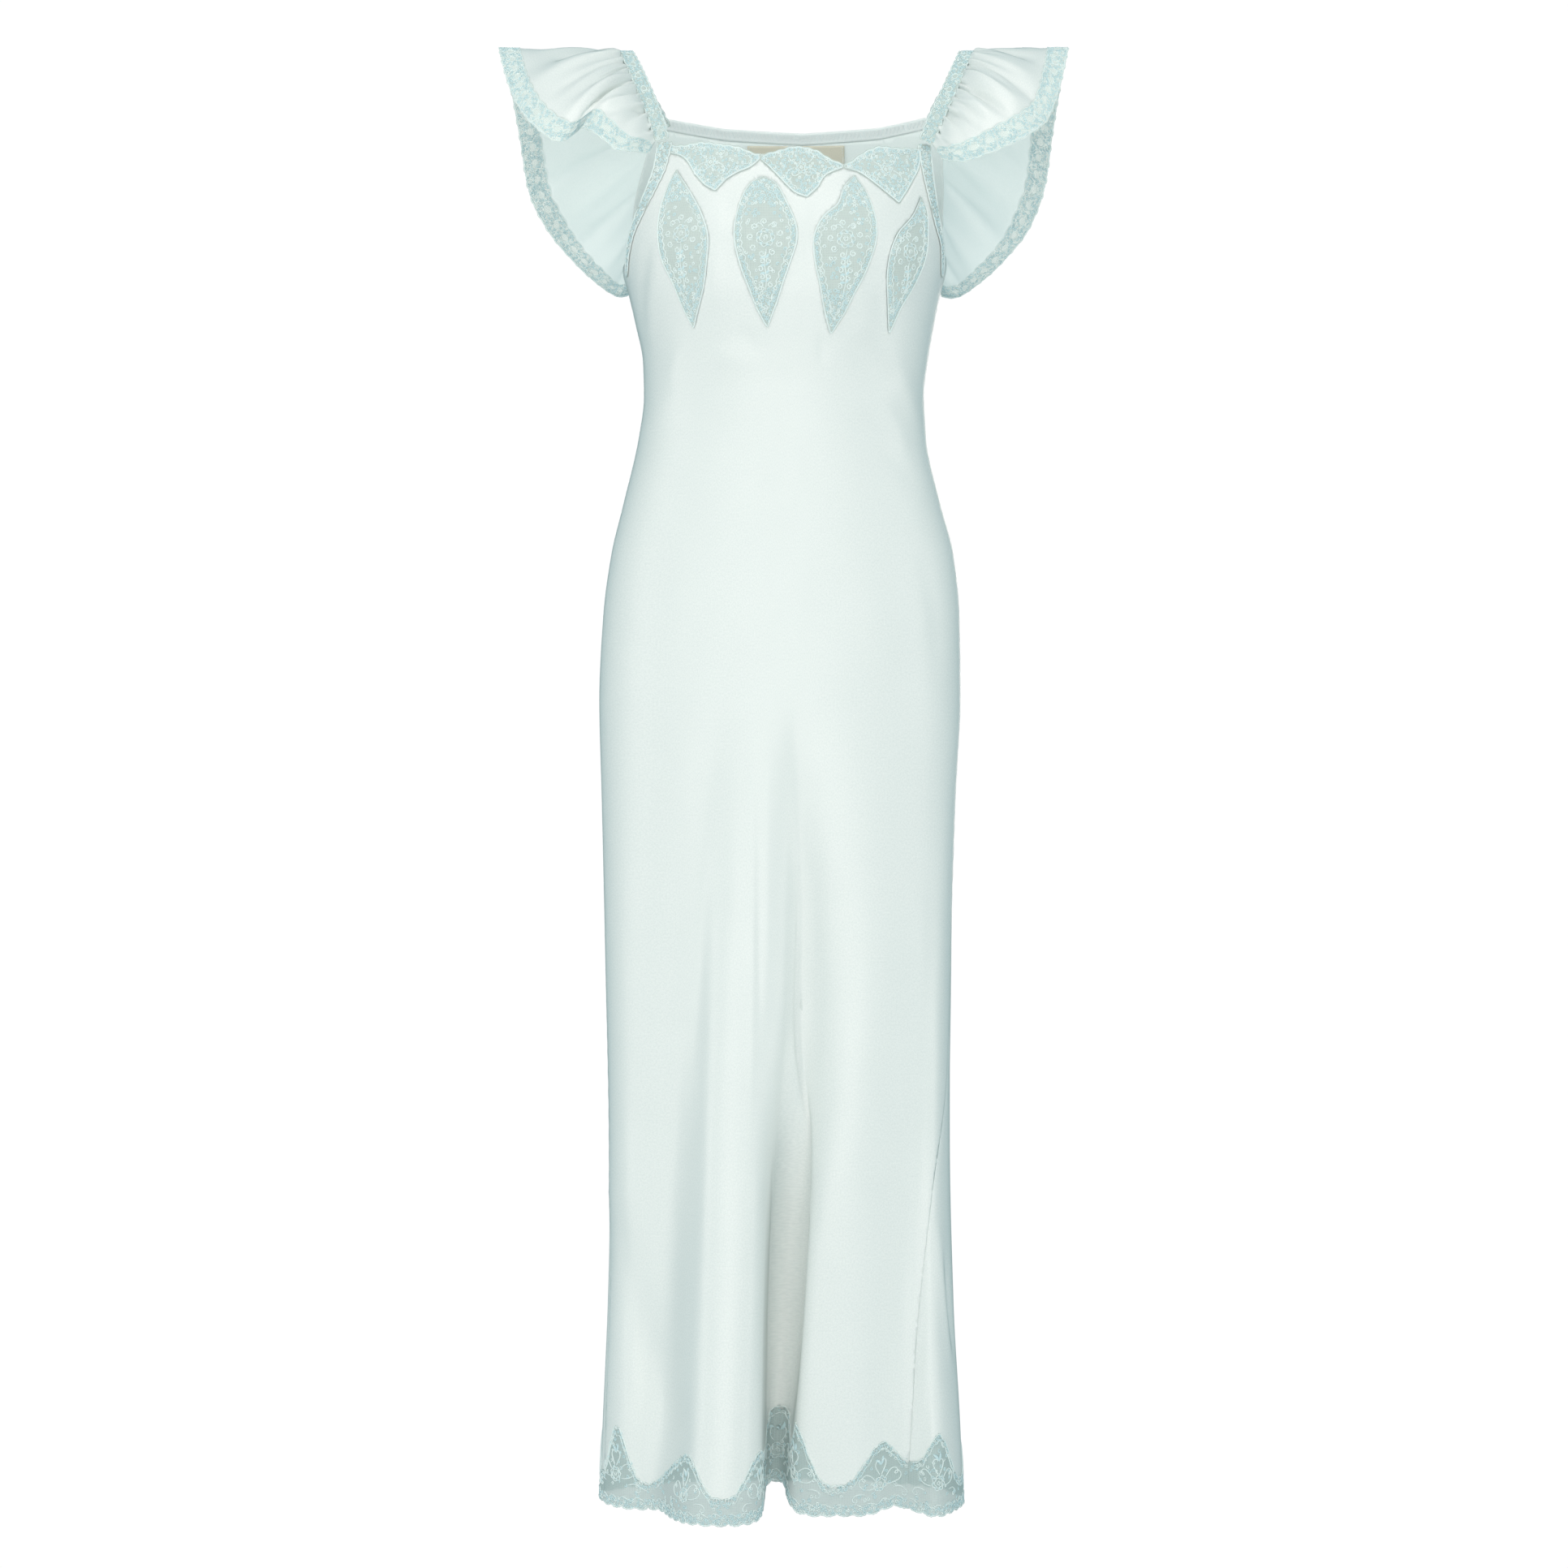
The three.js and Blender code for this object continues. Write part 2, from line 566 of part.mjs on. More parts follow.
// A closed geometry as a solid that can be cut, and a cut solid as a geometry.
function toSolid(geometry) {
  const bare = geometry.clone();
  bare.deleteAttribute('normal');
  bare.deleteAttribute('uv');
  const merged = mergeVertices(bare, 1e-4);
  const vertProperties = new Float32Array(merged.attributes.position.array);
  const triVerts = new Uint32Array(merged.index.array);
  return new wasm.Manifold(new wasm.Mesh({ numProp: 3, vertProperties, triVerts }));
}

function toGeometry(solid) {
  const { vertProperties, triVerts } = solid.getMesh();
  const geometry = new THREE.BufferGeometry();
  geometry.setAttribute('position', new THREE.BufferAttribute(new Float32Array(vertProperties), 3));
  geometry.setIndex(new THREE.BufferAttribute(new Uint32Array(triVerts), 1));
  return geometry;
}

// A shape drawn in X and Z, as a block that passes through the front of the dress only, larger by grow.
function frontBlock(shape, grow) {
  const [nearest, depth] = [-200, 175];
  const outline = shape.getPoints(5).map(({ x, y }) => [x, y]);
  const section = new wasm.CrossSection([outline], 'EvenOdd').offset(grow, 'Miter', 2);
  return section.extrude(depth).rotate([90, 0, 0]).translate([0, nearest + depth, 0]);
}

// Outline of a diamond inset, bulging most above its middle
function diamondShape({ top, wide, tip }) {
  const [right, left, z] = wide;
  const bulge = { upper: 0.62, lower: 0.62, upperOut: 5, lowerOut: 3, height: 0.42 };
  const corner = (end, x, share, out) => [
    end[0] + (x - end[0]) * share + out,
    z + (end[1] - z) * bulge.height,
  ];
  const shape = new THREE.Shape();
  shape.moveTo(...top);
  shape.quadraticCurveTo(...corner(top, left, bulge.upper, bulge.upperOut), left, z);
  shape.quadraticCurveTo(...corner(tip, left, bulge.lower, bulge.lowerOut), ...tip);
  shape.quadraticCurveTo(...corner(tip, right, bulge.lower, -bulge.lowerOut), right, z);
  shape.quadraticCurveTo(...corner(top, right, bulge.upper, -bulge.upperOut), ...top);
  return shape;
}

// Outline of a neckline piece, which runs past the neckline at the top
function neckLaceShape({ left, leftZ, point, right, rightZ }) {
  const above = -80;
  const belly = { share: 0.45, rise: 18 };
  const shape = new THREE.Shape();
  shape.moveTo(left, above);
  shape.lineTo(left, leftZ);
  shape.quadraticCurveTo(left + (point[0] - left) * belly.share, point[1] + belly.rise, ...point);
  shape.quadraticCurveTo(right + (point[0] - right) * belly.share, point[1] + belly.rise, right, rightZ);
  shape.lineTo(right, above);
  return shape;
}

// Front: satin with its lace let in
{
  const grid = satinGrid(front, FRONT_UPPER_EDGE);
  const whole = toSolid(bodyWall(front.columns, ROWS, grid, { panel: front }));
  let satin = whole;
  const insets = [
    ...NECK_LACE.map((row) => ({ name: row.name, shape: neckLaceShape(row) })),
    ...DIAMONDS.map((row) => ({ name: row.name, shape: diamondShape(row) })),
  ];
  for (const { name, shape } of insets) {
    add(name, toGeometry(whole.intersect(frontBlock(shape, 0))), LACE, 0.7);
    satin = satin.subtract(frontBlock(shape, SEAM_GAP));
  }
  add('front_panel', toGeometry(satin), SATIN);
}

// Back
const backGrid = satinGrid(rear, BACK_UPPER_EDGE);
add('back_panel', bodyWall(rear.columns, ROWS, backGrid, { panel: rear }), SATIN);
const backRoom = toSolid(bodyWall(rear.columns, ROWS, backGrid, { grow: SEAM_GAP, panel: rear }));

// Hem lace
const HEM_LACE_ROWS = 3;
for (const [name, panel] of [['hem_lace_front', front], ['hem_lace_back', rear]]) {
  const grid = hemLaceGrid(panel, HEM_LACE_ROWS);
  add(name, bodyWall(panel.columns, HEM_LACE_ROWS, grid, { panel }), LACE, 0.7);
}

// Straps
const STRAP_STEPS = 18;
const SHOULDER_CENTRE_Z = -92;
function strap(rows) {
  const curve = new THREE.CatmullRomCurve3(rows.map(({ x, y, z }) => new THREE.Vector3(x, y, z)));
  const frameAt = (t) => {
    const middle = curve.getPointAt(t);
    const along = curve.getTangentAt(t);
    const up = new THREE.Vector3(0, middle.y, middle.z - SHOULDER_CENTRE_Z).normalize();
    const across = along.clone().cross(up).normalize();
    const normal = across.clone().cross(along).normalize();
    return { middle, along, across, normal };
  };
  return { frameAt };
}

function strapWall(band, grow = 0) {
  const frames = cached((i) => band.frameAt(i / STRAP_STEPS));
  const normal = (i) => frames(i, 0).normal;
  const point = (i, j) => {
    const { middle, across } = frames(i, 0);
    return middle.clone().addScaledVector(across, (j - 0.5) * STRAP_WIDTH);
  };
  return wall(STRAP_STEPS, 1, point, normal, CLOTH, grow);
}

const STRAPS = { right: strap(STRAP_RIGHT), left: strap(STRAP_LEFT) };
for (const side of ['right', 'left']) add(`strap_lace_${side}`, strapWall(STRAPS[side]), LACE, 0.7);

// Band along the back neckline, between the ends of the straps
const NECK_BAND_COLUMNS = 16;
{
  const backEnd = (band) => band.frameAt(1);
  const reach = STRAP_WIDTH / 2 + SEAM_GAP + NECK_BAND_CLEARANCE;
  const fromX = backEnd(STRAPS.left).middle.x - reach;
  const toX = backEnd(STRAPS.right).middle.x + reach;
  const grid = cached((i, j) => {
    const x = fromX + (i / NECK_BAND_COLUMNS) * (toX - fromX);
    const angle = angleAtX(x, NECK_BAND_Z, true);
    return [angle, BACK_UPPER_EDGE(angle) + 1.5 * SEAM_GAP + (1 - j) * NECK_BAND_WIDTH];
  });
  add('back_neck_band', bodyWall(NECK_BAND_COLUMNS, 1, grid), BAND, 0.6);
}

// Label on the inside of the back
{
  const columns = 8;
  const grid = cached((i, j) => {
    const x = LABEL.x + (0.5 - i / columns) * LABEL.width;
    const z = LABEL.top - (j / 2) * LABEL.height;
    return [angleAtX(x, z, true), z];
  });
  const lift = -CLOTH - LABEL.inside;
  add('label', bodyWall(columns, 2, grid, { lift, thickness: LABEL.thickness }), LABEL_CLOTH, 0.8);
}

// Lace on the front armholes, laid on the satin's edge
const TRIM_ROWS = 12;
for (const side of ['right', 'left']) {
  const rows = FRONT_TOP.filter(({ x, z }) => (side === 'right' ? x <= -121 : x >= 141) && z <= -104);
  if (side === 'right') rows.reverse();
  const [top, bottom] = [rows[0].z - TRIM_DROP, UNDERARM_Z + ARMHOLE_RISE];
  const table = [...rows, { x: side === 'right' ? -153.6 : 154.2, z: UNDERARM_Z }];
  const grid = cached((i, j) => {
    const z = top + (j / TRIM_ROWS) * (bottom - top);
    const edge = angleAtX(read(table, 'z', z, 'x'), z, false);
    const width = TRIM_WIDTH * (1 - 0.45 * (j / TRIM_ROWS));
    const turn = (width / sectionRadius(edge, z) / Math.PI) * 180;
    return side === 'right' ? [edge + (i / 2) * turn, z] : [edge - (1 - i / 2) * turn, z];
  });
  const lift = CLOTH + SEAM_GAP + TRIM_SLACK;
  add(`armhole_lace_${side}`, bodyWall(2, TRIM_ROWS, grid, { lift }), LACE, 0.7);
}

// Sleeves
const SLEEVE_ROWS = 5;
const HEAD_FRONT = { columns: 34, share: 0.45 };
const HEAD_BACK = { columns: 12 };
const SLEEVE_COLUMNS = HEAD_FRONT.columns + HEAD_BACK.columns;

// The line that a sleeve is sewn to: the strap's outer edge, then the back armhole down to the underarm.
function sleeveHead(side) {
  const sign = side === 'right' ? -1 : 1;
  const points = [];
  for (let k = 0; k <= 20; k += 1) {
    const { middle, across } = STRAPS[side].frameAt(k / 20);
    const out = Math.sign(across.x) === sign ? 1 : -1;
    const p = middle.clone().addScaledVector(across, out * (STRAP_WIDTH / 2 - SEWN_IN));
    points.push(p);
  }
  const rows = BACK_TOP.filter(({ x, z }) => sign * x >= 127 && z < -73);
  if (side === 'right') rows.reverse();
  const table = [...rows, { x: sign * 154, z: UNDERARM_Z }];
  for (let z = -86; z > UNDERARM_Z + 2; z -= 12) {
    const angle = angleAtX(read(table, 'z', z, 'x'), z, true);
    const inward = side === 'right' ? -1 : 1;
    const turn = ((SEWN_IN * 1.4) / sectionRadius(angle, z) / Math.PI) * 180;
    points.push(bodyPoint(angle + inward * turn, z));
  }
  return new THREE.CatmullRomCurve3(points);
}

function sleeve(side, rows) {
  const head = sleeveHead(side);
  const sign = side === 'right' ? -1 : 1;
  const along = (i) => {
    const { columns, share } = HEAD_FRONT;
    if (i <= columns) return (i / columns) * share;
    return share + ((i - columns) / HEAD_BACK.columns) * (1 - share);
  };
  const pointAt = (u, v) => {
    const from = head.getPointAt(u);
    const to = new THREE.Vector3(...['x', 'y', 'z'].map((key) => read(rows, 'along', u, key)));
    const middle = from.clone().lerp(to, 0.5);
    const up = new THREE.Vector3(0, middle.y, middle.z + 150).normalize();
    const arch = read(rows, 'along', u, 'arch') * 4 * v * (1 - v);
    const gathered = Math.min(u / 0.04, 1) * Math.min(Math.max((HEAD_FRONT.share - u) / 0.08, 0), 1);
    const wave = Math.sin((2 * Math.PI * GATHERS * u) / HEAD_FRONT.share);
    const fade = 4 * Math.min(v, 0.5) * (1 - v) ** 3 * 1.8;
    const p = from.lerp(to, v);
    return p.addScaledVector(up, arch + GATHER_DEPTH * wave * gathered * fade);
  };
  const lengthAt = (u) => pointAt(u, 0).distanceTo(pointAt(u, 1));
  const laceFrom = (u) => 1 - Math.min(SLEEVE_LACE_WIDTH / lengthAt(u), 0.6);
  const normalAt = (u, v) => {
    const step = 0.004;
    const across = pointAt(Math.min(u + step, 1), v).sub(pointAt(Math.max(u - step, 0), v));
    const down = pointAt(u, v + step).sub(pointAt(u, v - step));
    return down.cross(across).multiplyScalar(-sign).normalize();
  };
  return { along, pointAt, normalAt, laceFrom, lengthAt };
}

for (const [side, rows] of [['right', SLEEVE_RIGHT], ['left', SLEEVE_LEFT]]) {
  const { along, pointAt, normalAt, laceFrom, lengthAt } = sleeve(side, rows);
  const sheet = (lines, shareAt) => {
    const spot = (i, j) => {
      const u = along(side === 'right' ? i : SLEEVE_COLUMNS - i);
      return [u, shareAt(u, j / lines)];
    };
    const point = cached((i, j) => pointAt(...spot(i, j)));
    const normal = cached((i, j) => normalAt(...spot(i, j)));
    return wall(SLEEVE_COLUMNS, lines, point, normal);
  };
  const laceEnd = (u) => laceFrom(u) - (2 * SEAM_GAP) / lengthAt(u);
  let cloth = toSolid(sheet(SLEEVE_ROWS, (u, t) => t * laceEnd(u)));
  cloth = cloth.subtract(toSolid(strapWall(STRAPS[side], SEAM_GAP))).subtract(backRoom);
  const pieces = cloth.decompose().sort((a, b) => b.volume() - a.volume());
  add(`sleeve_${side}`, toGeometry(pieces[0]), SATIN);
  add(`sleeve_lace_${side}`, sheet(2, (u, t) => laceFrom(u) + t * (1 - laceFrom(u))), LACE, 0.7);
}

export default group;
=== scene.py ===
# %% [markdown]
# # A satin maxi dress with lace insets
# The dress hangs in the hollow shape that it has when it is worn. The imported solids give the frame: each
# cloth piece here is a thin, finer shell on the same surface, and replaces its plain solid.
# All pattern sizes below are in millimetres, as on a cutting table, and become metres when a mesh is made.

# %% Load the frame
import math

import bpy
import numpy as np
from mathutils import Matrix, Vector
from mathutils.geometry import delaunay_2d_cdt


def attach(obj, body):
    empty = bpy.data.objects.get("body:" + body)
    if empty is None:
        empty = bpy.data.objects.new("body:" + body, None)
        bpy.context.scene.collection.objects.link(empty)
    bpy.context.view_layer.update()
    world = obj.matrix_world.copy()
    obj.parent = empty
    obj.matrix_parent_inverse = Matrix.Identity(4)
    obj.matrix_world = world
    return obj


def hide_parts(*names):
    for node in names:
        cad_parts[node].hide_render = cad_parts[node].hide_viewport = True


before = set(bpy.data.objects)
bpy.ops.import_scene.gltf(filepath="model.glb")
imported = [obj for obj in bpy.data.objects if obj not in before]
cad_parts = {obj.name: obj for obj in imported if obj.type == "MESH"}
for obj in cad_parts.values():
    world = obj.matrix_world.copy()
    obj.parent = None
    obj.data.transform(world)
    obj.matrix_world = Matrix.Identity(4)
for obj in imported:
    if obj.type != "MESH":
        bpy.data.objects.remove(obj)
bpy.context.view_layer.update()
scene = bpy.context.scene
MM = 0.001

# %% [markdown]
# ## The camera
# The picture is a plain front view from far away, level with the middle of the skirt. A camera 4.5 m off
# gives the same slight difference between the front and back hem.

# %% Camera
SHOT_DISTANCE = 4.5
PICTURE_WIDTH = 1.5456
EYE_LEVEL = -0.7264

lens = bpy.data.cameras.new("shot")
lens.angle = 2 * math.atan(PICTURE_WIDTH / 2 / SHOT_DISTANCE)
camera = bpy.data.objects.new("shot", lens)
camera.location = (0, -SHOT_DISTANCE, EYE_LEVEL)
camera.rotation_euler = (math.radians(90), 0, 0)
scene.collection.objects.link(camera)
scene.camera = camera
print("camera angle", round(math.degrees(lens.angle), 2))

# %% [markdown]
# ## The shape of the worn dress
# A dressmaker would drape on a stand and measure it. Here the stand is a table of level sections: how far
# each reaches to the wearer's right and left, front and back, and how square it is. The hem is a second
# table, a row for each crest and hollow of its folds, and the skirt passes from one to the other.

# %% Tables of the stand
SECTION_HEADS = ("z", "right", "left", "front", "back", "square")
SECTIONS = np.array([
    (0, 168, 174, 90, 80, 2.2),
    (-60, 168, 174, 96, 88, 2.2),
    (-104, 168, 170, 105, 94, 2.2),
    (-150, 167, 166, 118, 100, 2.3),
    (-215, 161, 161, 131, 100, 2.5),
    (-245, 153, 154, 129, 97, 2.45),
    (-275, 146, 148, 122, 92, 2.35),
    (-310, 139, 142, 112, 85, 2.25),
    (-345, 138, 138, 103, 80, 2.2),
    (-385, 143, 140, 98, 80, 2.2),
    (-450, 158, 154, 99, 97, 2.2),
    (-500, 170, 167, 103, 112, 2.2),
    (-560, 178, 173, 107, 126, 2.2),
    (-645, 182, 174, 109, 134, 2.2),
    (-740, 180, 170, 110, 130, 2.2),
    (-900, 177, 166, 112, 126, 2.2),
    (-1080, 174, 165, 116, 126, 2.2),
    (-1240, 175, 168, 120, 130, 2.2),
    (-1360, 179, 174, 124, 134, 2.2),
    (-1450, 182, 177, 126, 136, 2.2),
], float)

HEM_HEADS = ("angle", "x", "y", "lift")
HEM = np.array([
    (-102, -183, 32, 6), (-88, -177, 6, 2), (-74, -159, -16, 0), (-60, -137, -24, 0),
    (-50, -121, -40, 2), (-42, -108, -88, 0), (-34, -90, -126, 0), (-24, -60, -140, 0),
    (-15, -35, -128, 0), (-9, -22, -98, 2), (-2, -20, -46, 12), (3, -18, -16, 22),
    (6.5, -9, -2, 26), (10, 0, -16, 22), (14, 2, -42, 13), (19, 6, -64, 4),
    (26, 20, -78, 0), (36, 52, -82, 0), (47, 86, -62, 0), (58, 108, -30, 6),
    (67, 127, -44, 2), (77, 148, -66, -2), (88, 168, -34, 0), (101, 178, 14, 2),
    (115, 168, 58, 4), (128, 142, 86, 6), (140, 116, 102, 6), (152, 88, 134, 4),
    (163, 56, 116, 6), (174, 24, 142, 4), (186, -8, 118, 6), (198, -44, 140, 4),
    (210, -80, 112, 6), (223, -112, 122, 5), (237, -148, 84, 6), (248, -171, 62, 6),
], float)
HEM_Z = -1437
FOLD_START_Z = -640
FOLD_GROWTH = 1.15
BUST = dict(x=72, z=-218, out=7, across=58, high=62)
# where the folds are softened round the hem and up it, and how much on the two sides of the centre fold
SOFTEN = dict(at=12, across=64, low=-1200, over=270, blur=18, fold=3, fold_across=17, hem_share=(0.45, 0.85))


# %% Reading the tables
def hermite(a, b, ta, tb, t):
    """A smooth step from a to b, leaving along ta and arriving along tb."""
    return (a * (2 * t**3 - 3 * t**2 + 1) + ta * (t**3 - 2 * t**2 + t)
            + b * (3 * t**2 - 2 * t**3) + tb * (t**3 - t**2))


def fair(x, y):
    """A curve through the points that never swings past them, like a thin batten on pins."""
    order = np.argsort(x)
    x, y = np.asarray(x, float)[order], np.asarray(y, float)[order]
    slope = np.diff(y) / np.diff(x)
    before, after = slope[:-1], slope[1:]
    total = np.where(np.abs(before + after) < 1e-12, 1, before + after)
    inner = np.where(before * after > 0, 2 * before * after / total, 0)
    tangent = np.concatenate([slope[:1], inner, slope[-1:]])

    def read(at):
        at = np.clip(at, x[0], x[-1])
        k = np.clip(np.searchsorted(x, at, side="right") - 1, 0, len(x) - 2)
        span = x[k + 1] - x[k]
        return hermite(y[k], y[k + 1], tangent[k] * span, tangent[k + 1] * span, (at - x[k]) / span)

    return read


def closed(x, y):
    """The same through points that go once round, every 360 degrees."""
    x3 = np.concatenate([x - 360, x, x + 360, x + 720])
    y3 = np.tile(y, 4)
    tangent = np.zeros_like(y3)
    tangent[1:-1] = (y3[2:] - y3[:-2]) / (x3[2:] - x3[:-2])

    def read(at):
        k = np.clip(np.searchsorted(x3, at, side="right") - 1, 1, len(x3) - 3)
        span = x3[k + 1] - x3[k]
        return hermite(y3[k], y3[k + 1], tangent[k] * span, tangent[k + 1] * span, (at - x3[k]) / span)

    return read


def run_lengths(points):
    """How long a line has grown at each of its points."""
    return np.concatenate([[0], np.cumsum(np.linalg.norm(np.diff(points, axis=0), axis=1))])


def smooth_curve(points):
    """A curve through points, flat or in space, read by the share of its own length."""
    points = np.asarray(points, float)
    ends = np.vstack([2 * points[0] - points[1], points, 2 * points[-1] - points[-2]])
    fine = []
    t = np.linspace(0, 1, 24, endpoint=False)[:, None]
    for k in range(len(points) - 1):
        p0, p1, p2, p3 = ends[k:k + 4]
        d0, d1, d2 = (np.sqrt(np.linalg.norm(b - a)) for a, b in ((p0, p1), (p1, p2), (p2, p3)))
        leave = ((p1 - p0) / d0 - (p2 - p0) / (d0 + d1) + (p2 - p1) / d1) * d1
        arrive = ((p2 - p1) / d1 - (p3 - p1) / (d1 + d2) + (p3 - p2) / d2) * d1
        fine.append(hermite(p1, p2, leave, arrive, t))
    fine = np.vstack([*fine, points[-1:]])
    lengths = run_lengths(fine)

    def at(share):
        where = np.clip(share, 0, 1) * lengths[-1]
        return np.stack([np.interp(where, lengths, fine[:, k]) for k in range(fine.shape[1])], -1)

    return at, float(lengths[-1])


section = {h: fair(SECTIONS[:, 0], SECTIONS[:, SECTION_HEADS.index(h)]) for h in SECTION_HEADS[1:]}
hem = {h: closed(HEM[:, 0], HEM[:, HEM_HEADS.index(h)]) for h in HEM_HEADS[1:]}
print("waist, right to left", float(section["right"](-345) + section["left"](-345)), "mm")


# %% The surface of the dress
def plain_section(angle, z):
    """A point of the level section. Angle 0 is the centre front, and 90 the wearer's left."""
    s, c = np.sin(np.radians(angle)), np.cos(np.radians(angle))
    reach_x = np.where(s < 0, section["right"](z), section["left"](z))
    reach_y = np.where(c > 0, section["front"](z), section["back"](z))
    square = section["square"](z)
    r = (np.abs(s / reach_x) ** square + np.abs(c / reach_y) ** square) ** (-1 / square)
    return r * s, -r * c


def softened(values):
    """What to add to a hem column so that its folds run out softly higher up."""
    turn = np.arange(-180, 540, 1.0)
    reach = np.arange(-36, 37)
    weights = np.exp(-((reach / SOFTEN["blur"]) ** 2) / 2)
    read = values(turn)
    blurred = np.convolve(np.tile(read[:360], 3), weights / weights.sum(), "same")[360:720]
    change = np.tile(blurred - read[:360], 2)
    return lambda at: np.interp(at, turn, change)


soft_hem = {h: softened(hem[h]) for h in ("x", "y")}


def dress(angle, z):
    """The outer face of the dress at an angle round it and a height."""
    angle, z = np.broadcast_arrays(np.asarray(angle, float), np.asarray(z, float))
    x, y = plain_section(angle, z)
    for side in (-1, 1):
        aside, above = (x - side * BUST["x"]) / BUST["across"], (z - BUST["z"]) / BUST["high"]
        swell = np.exp(-(aside**2) - above**2)
        y = y - np.where(np.cos(np.radians(angle)) > 0, BUST["out"] * swell, 0)
    grown = np.clip((FOLD_START_Z - z) / (FOLD_START_Z - HEM_Z), 0, None) ** FOLD_GROWTH
    hem_x, hem_y = plain_section(angle, np.full_like(z, HEM_Z))
    soft = np.clip((z - SOFTEN["low"]) / SOFTEN["over"], 0, 1)
    from_fold = (angle - SOFTEN["fold"]) / SOFTEN["fold_across"]
    least = np.where(angle < SOFTEN["fold"], *SOFTEN["hem_share"]) * (1 - np.exp(-(from_fold**2)))
    soft = least + (1 - least) * soft * soft * (3 - 2 * soft)
    soft = soft * np.exp(-(((angle - SOFTEN["at"]) / SOFTEN["across"]) ** 4))
    x = x + grown * (hem["x"](angle) - hem_x + soft * soft_hem["x"](angle))
    y = y + grown * (hem["y"](angle) - hem_y + soft * soft_hem["y"](angle))
    return np.stack([x, y, z], -1)


def unit(v):
    return v / np.maximum(np.linalg.norm(v, axis=-1, keepdims=True), 1e-9)


def dress_normal(angle, z):
    across = dress(angle + 0.3, z) - dress(angle - 0.3, z)
    down = dress(angle, z - 0.5) - dress(angle, z + 0.5)
    return unit(np.cross(down, across))


ring_angles = np.arange(-180, 541, 0.5)
hem_length = run_lengths(dress(ring_angles, np.full_like(ring_angles, HEM_Z)))
hem_length -= np.interp(0, ring_angles, hem_length)
HIP_SHARE = 1.3
FOLD_SHARE = 0.55
laid = HIP_SHARE * ring_angles + FOLD_SHARE * hem_length
print("length round the hem", round(float(np.interp(360, ring_angles, hem_length)) / 1000, 2), "m")


def to_laid(angle):
    """A coordinate round the dress with room for the folds, in which the cloth's mesh is laid out."""
    return np.interp(angle, ring_angles, laid)


def from_laid(c):
    return np.interp(c, laid, ring_angles)


def angle_at(x, z, back=False):
    """The angle at which the plain front or back has this x."""
    x, z = np.broadcast_arrays(np.asarray(x, float), np.asarray(z, float))
    low, high = np.full(x.shape, 90.0 if back else -90.0), np.full(x.shape, 270.0 if back else 90.0)
    for _ in range(40):
        middle = (low + high) / 2
        over = plain_section(middle, z)[0] > x
        low, high = np.where(over == back, middle, low), np.where(over == back, high, middle)
    return (low + high) / 2


# %% [markdown]
# ## Creases
# Satin cut on the bias clings and drags. Each crease is listed one by one: where it starts and ends as seen
# from the front (or the angle, at the back), how wide it is, and how far it stands out or sinks in.

# %% Creases, one by one
DEEP_CREASES = [
    # x, z, width on the left, out and width on the right at each point
    [(12, -640, 14, 0, 24), (15, -740, 14, -9, 30), (19, -840, 14, -18, 38), (19, -940, 14, -24, 38),
     (14, -1030, 14, -25, 30), (8, -1110, 12, -25, 22), (3, -1180, 10, -24, 16), (0, -1250, 10, -20, 13),
     (-2, -1320, 10, -12, 11), (-4, -1380, 9, -4, 9), (-4, -1425, 9, 0, 9)],
    [(-58, -640, 24, 0, 22), (-74, -730, 28, -7, 24), (-86, -838, 32, -13, 26), (-95, -960, 34, -15, 26),
     (-101, -1070, 34, -12, 26), (-104, -1200, 34, -8, 26), (-107, -1330, 32, -5, 26),
     (-112, -1420, 26, 0, 26)],
]
FRONT_CREASES = [
    # width, out, then x and z of each point that it passes
    (6, 1.3, (-29, -655), (-29, -900), (-30, -1130), (-31, -1300)),
    (4, -1.1, (-24, -675), (-25, -790), (-25, -909), (-26, -1040)),
    (9, 1.6, (-17, -655), (-16, -780), (-16, -900), (-18, -1010)),
    (14, 1.6, (34, -690), (44, -860), (46, -1040)),
    (22, -1.5, (84, -760), (92, -930), (98, -1180)),
    (11, 1.1, (128, -820), (134, -960)),
    (19, -6.5, (-167, -1130), (-143, -1262), (-98, -1410)),
    (16, 1.3, (-128, -880), (-133, -1010), (-126, -1120)),
    (14, -2.3, (71, -292), (90, -322), (107, -345)),
    (9, 1.7, (100, -302), (121, -345), (134, -388)),
    (10, 1.5, (82, -344), (100, -368), (122, -398)),
    (11, -1.7, (66, -366), (98, -400), (130, -438)),
    (24, -1.6, (-106, -350), (-80, -372), (-54, -386)),
    (12, 1.3, (-74, -304), (-58, -314), (-40, -324)),
    (9, 1.5, (-86, -286), (-103, -312), (-111, -350)),
    (9, -1.3, (-48, -287), (-34, -300), (-21, -318)),
    (5, -1.1, (36, -294), (37, -324)),
    (12, -2.4, (84, -196), (93, -250), (104, -304)),
    (10, 1.4, (68, -214), (76, -262), (84, -300)),
    (8, -1.2, (-58, -160), (-48, -184), (-46, -206)),
    (9, 1.3, (-60, -186), (-66, -232), (-64, -280)),
    (8, -1.1, (28, -172), (24, -210), (22, -246)),
    (8, 1.2, (-118, -200), (-130, -262), (-128, -312)),
    (5, -1.4, (-130, -196), (-137, -246), (-136, -290)),
    (15, 1.1, (-112, -430), (-104, -520), (-116, -610)),
    (12, -1.0, (-20, -420), (-34, -500)),
    (18, 1.0, (60, -470), (88, -560), (96, -650)),
    (10, -1.2, (128, -480), (146, -560), (150, -640)),
]
